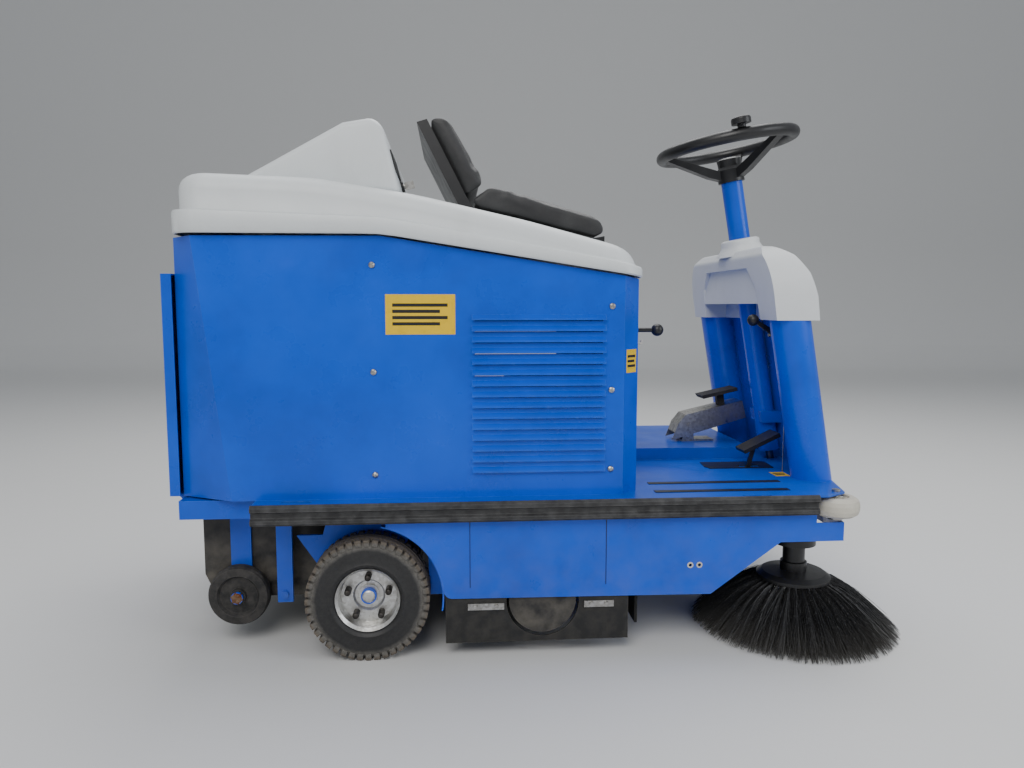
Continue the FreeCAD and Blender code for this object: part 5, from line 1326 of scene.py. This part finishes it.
@dataclass
class SideBrush:
    """Side brush: a skirt of bristles splayed out from under its disc, in tufts."""

    x: float = 978.0
    y: float = -275.0
    disc: float = 110.0
    inner: float = 56.0
    outer: float = 80.0
    tufts: int = 40
    each: int = 34
    reach: float = 233.0

    def build(self, draw: Drawing, finishes: Finishes) -> None:
        """Make the bristles and stand them in for the frame's solid."""
        chance = random.Random(11)
        strands = []
        for row in range(4):
            for tuft in range(self.tufts):
                base = (tuft + row * 0.25) * math.tau / self.tufts
                root = self.inner + (self.outer - self.inner) * row / 3
                for _ in range(self.each // (1 if row > 1 else 2)):
                    strands.append(self.strand(draw, chance, base, root, row))
        piece = Bristles(strands, 0.85).mesh("side_brush_strands")
        set_down(piece, finishes["bristle"], "bristle", "side_brush", "side_brush_bristles")

    def strand(
        self, draw: Drawing, chance: random.Random, base: float, root: float, row: int
    ) -> list[Vector]:
        """One strand from the disc to the ground.

        Args:
            draw: the drawing.
            chance: the source of scatter.
            base: the tuft's angle.
            root: the tuft's radius.
            row: the tuft's ring, 0 for the innermost.

        Returns:
            The strand's points.
        """
        spread = chance.gauss(0, 0.055)
        end = self.reach - (3 - row) * 16 - abs(chance.gauss(0, 13))
        low = 2.0 + abs(chance.gauss(0, 3.5)) + (3 - row) * 1.5
        bow = 12 + chance.gauss(0, 5)
        line = []
        for i in range(5):
            t = i / 4
            angle = base + chance.gauss(0, 0.008) + spread * t
            out = root + (end - root) * (0.88 * t + 0.12 * t * t)
            z = self.disc + 2 + (low - self.disc - 2) * t + bow * math.sin(math.pi * t)
            line.append(draw.at(self.x + out * math.cos(angle), self.y + out * math.sin(angle), max(z, 1.5)))
        return line


@dataclass
class MainBrush:
    """Main brush: tufts of bristles in spiral rows round its core."""

    x: float = 370.0
    z: float = 119.0
    core: float = 46.0
    radius: float = 117.0
    half: float = 266.0
    rows: int = 14
    along: int = 54
    each: int = 7

    def build(self, draw: Drawing, finishes: Finishes) -> None:
        """Make the bristles and stand them in for the frame's solid."""
        chance = random.Random(5)
        strands = []
        for row in range(self.rows):
            for spot in range(self.along):
                y = -self.half + 2 * self.half * spot / (self.along - 1)
                base = math.tau * row / self.rows + 0.9 * spot / self.along
                for _ in range(self.each):
                    angle = base + chance.gauss(0, 0.03)
                    lean = angle + chance.gauss(0, 0.05)
                    tip = self.radius - abs(chance.gauss(0, 2.5))
                    y_tip = max(min(y + chance.gauss(0, 5), self.half), -self.half)
                    line = []
                    for t in (0.0, 0.55, 1.0):
                        r = self.core + (tip - self.core) * t
                        turn = angle + (lean - angle) * t
                        wide = y + (y_tip - y) * t
                        line.append(draw.at(self.x + r * math.cos(turn), wide, self.z + r * math.sin(turn)))
                    strands.append(line)
        piece = Bristles(strands, 1.3).mesh("main_brush_strands")
        set_down(piece, finishes["bristle"], "bristle", "main_brush", "main_brush_bristles")


@dataclass
class Label:
    """Yellow film label with plain black bars in place of lettering."""

    name: str
    centre: tuple[float, float, float]
    wide: Vector
    high: Vector
    rows: int

    def build(self, draw: Drawing, finishes: Finishes) -> None:
        """Make the film and its bars."""
        middle = draw.at(*self.centre)
        wide, high = self.wide / 2000, self.high / 2000
        out = wide.cross(high).normalized()
        corners = [middle - wide - high, middle + wide - high, middle + wide + high, middle - wide + high]
        film = prism(self.name, corners, out * 0.0006)
        soften(film, 1.5, 3, 40)
        set_down(film, finishes["label_film"], "blue_paint", "chassis")
        bars = []
        for row in range(self.rows):
            level = 0.62 - 1.24 * (row + 0.5) / self.rows
            length = 0.78 if row % 2 == 0 else 0.56
            thick = 0.32 / self.rows
            spots = [(-0.8, level - thick), (length, level - thick)]
            spots += [(length, level + thick), (-0.8, level + thick)]
            line = [middle + wide * a + high * b + out * 0.0006 for a, b in spots]
            bars.append(prism(self.name + "_bar", line, out * 0.0002))
        bar = joined(self.name + "_bars", bars)
        set_down(bar, finishes["label_ink"], "blue_paint", "chassis")


@dataclass
class ColumnCollar:
    """Lipped collar where the steering column leaves the dash."""

    axis: Vector
    wheel: tuple[float, float, float] = (887.0, 0.0, 1152.0)

    def build(self, draw: Drawing, finishes: Finishes) -> None:
        """Make the collar."""
        centre = draw.at(*self.wheel)
        lip = [(27.5, -238), (40, -238), (47, -241), (49, -246), (48, -252)]
        lip += [(52, -262), (62, -274), (64, -279), (27.5, -279)]
        collar = smooth(lathe("column_collar", lip + [lip[0]], centre, self.axis, 64), 40)
        set_down(collar, finishes["cap_plastic"], "cap_plastic", "chassis")


@dataclass
class RollerBolts:
    """Domed bolt and washer on each bumper roller, in plated steel."""

    x: float = 1018.0
    y: float = 384.0
    top: float = 330.0

    def build(self, draw: Drawing, finishes: Finishes) -> None:
        """Make the bolts of both rollers."""
        for side in Side:
            centre = draw.at(self.x, side.value * self.y, 0)
            washer = [(0, self.top + 0.4), (17, self.top + 0.4), (17.5, self.top + 1.2), (17, self.top + 2.4)]
            head = [(11, self.top + 2.6), (11, self.top + 7), (9.5, self.top + 8.6), (0, self.top + 9)]
            bolt = lathe(f"roller_bolt_{side.word}", washer + head, centre, Vector((0, 0, 1)), 24)
            set_down(smooth(bolt, 35), finishes["plated_steel"], "plated_steel", "chassis")


@dataclass
class AxleCaps:
    """Silver caps over the rear axle's ends and rusty bolt heads on the small wheels' legs."""

    height: float = 130.0
    small_x: float = -290.0
    small_z: float = 112.0
    small_face: float = 326.0

    def build(self, draw: Drawing, finishes: Finishes) -> None:
        """Make the caps and heads of both sides."""
        low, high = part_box("rear_axles")
        for side in Side:
            out = Vector((0, side.value, 0))
            end = (high.y if side is Side.LEFT else low.y) - draw.y
            centre = draw.at(0, end * 1000, self.height)
            dome = [(0, 3.2), (9, 2.8), (13, 1.0), (14.5, -1.5)]
            dome += [(14.5, -12), (22, -12.5), (22, -15), (0, -15)]
            cap = smooth(lathe(f"hub_cap_{side.word}", dome, centre, out, 32), 35)
            set_down(cap, finishes["rim_steel"], "rim_steel", f"rear_wheel_{side.word}")
            spot = draw.at(self.small_x, side.value * self.small_face, self.small_z)
            hexagon = [(0, 1.6), (9, 1.6), (10.5, 0.6), (13.4, 0.2), (13.8, -1.0), (13.8, -5.5), (0, -5.5)]
            head = smooth(lathe(f"leg_bolt_{side.word}", hexagon, spot, out, 6), 20)
            set_down(head, finishes["rusty_bolt"], "plated_steel", "hopper")


@dataclass
class CornerClip:
    """Small white hook on the body's front corner, beside the lever."""

    x: float = 584.0
    y: float = -300.0
    z: float = 660.0

    def build(self, draw: Drawing, finishes: Finishes) -> None:
        """Make the hook."""
        hook = [(0, 0), (14, 0), (16, 10), (13, 10), (11, 4), (4, 4), (4, 22), (0, 22)]
        outline = [draw.at(self.x + x, self.y, self.z + z) for x, z in hook]
        clip = prism("corner_clip", outline, Vector((0, -0.012, 0)))
        smooth(soften(clip, 1.0, 2, 30), 50)
        set_down(clip, finishes["roller_plastic"], "black_plastic", "chassis")


@dataclass
class SkirtTrims:
    """Bare rings round the skirt's two holes and its sheet seams."""

    level: float = 189.0
    places: tuple[float, ...] = (689.0, 709.0)
    face: float = 405.0

    def build(self, draw: Drawing, finishes: Finishes) -> None:
        """Make the trims of both sides."""
        for side in Side:
            out = Vector((0, side.value, 0))
            rings = []
            for x in self.places:
                centre = draw.at(x, side.value * self.face, self.level)
                ring = [(3.5, 0.0), (3.5, 0.5), (6.4, 0.5), (6.8, 0.0), (3.5, 0.0)]
                rings.append(lathe("hole_ring", ring, centre, out, 24))
            trims = joined(f"hole_rings_{side.word}", rings)
            set_down(trims, finishes["roller_plastic"], "blue_paint", "chassis")
            seams = []
            for x in (215.0, 505.0):
                y = side.value * (self.face + 0.2)
                low = draw.at(x - 0.8, y - 0.4, 152)
                high = draw.at(x + 0.8, y + 0.4, 296)
                seams.append(block("skirt_seam", low, high))
            seam = joined(f"skirt_seams_{side.word}", seams)
            set_down(seam, finishes["label_ink"], "blue_paint", "chassis")


PARTS = [
    Hood(),
    Cushion(
        "seat_back_cushion",
        "seat_back",
        ((129, 1157), (150, 1166), (172, 1160), (258, 1016), (216, 988)),
        230,
        ((232, 1062), (250, 1030)),
    ),
    Cushion(
        "seat_base_cushion",
        "seat_base",
        (
            (221.5, 981),
            (262, 1012),
            (300, 1006),
            (500, 948),
            (524, 940),
            (534, 922),
            (530, 904),
            (508, 900),
            (233.5, 964),
        ),
        230,
        ((296, 1007), (330, 998)),
    ),
    RearWheel(Side.RIGHT),
    RearWheel(Side.LEFT),
    SideBrush(),
    MainBrush(),
    Label("side_label", (116, -375.1, 727), Vector((144, 0, 0)), Vector((0, 0, 83)), 4),
    Label("corner_label", (564.1, -356.1, 627), Vector((27, 27, 0)), Vector((0, 0, 50)), 3),
    Label("floor_label", (967, -207, 340.1), Vector((36, 0, 0)), Vector((0, 44, 0)), 2),
    ColumnCollar(Vector((-0.17365, 0, 0.98481))),
    RollerBolts(),
    AxleCaps(),
    CornerClip(),
    SkirtTrims(),
]
EXTRA = {
    "dark_bolt": Metal("dark_bolt", (0.10, 0.095, 0.09), (0.05, 0.045, 0.04), 0.3, 0.45),
    "rusty_bolt": Metal("rusty_bolt", (0.34, 0.25, 0.18), (0.20, 0.11, 0.06), 0.8, 0.6),
    "label_film": Sticker("label_film", (0.80, 0.52, 0.01)),
    "label_ink": Sticker("label_ink", (0.012, 0.012, 0.012)),
}


def main() -> None:
    """Load the frame, lay every piece over it and set up the view."""
    logging.basicConfig(level=logging.INFO, format="%(message)s")
    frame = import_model()
    draw = Drawing.from_joints(frame["joints"])
    finishes = {slot: finish.make() for slot, finish in (PALETTE | EXTRA).items()}
    paint_nodes(frame["nodes"], finishes)
    for part in PARTS:
        part.build(draw, finishes)
    lay_floor()
    light_studio()
    set_camera()
    LOG.info("all pieces are down")


if __name__ == "__main__":
    main()
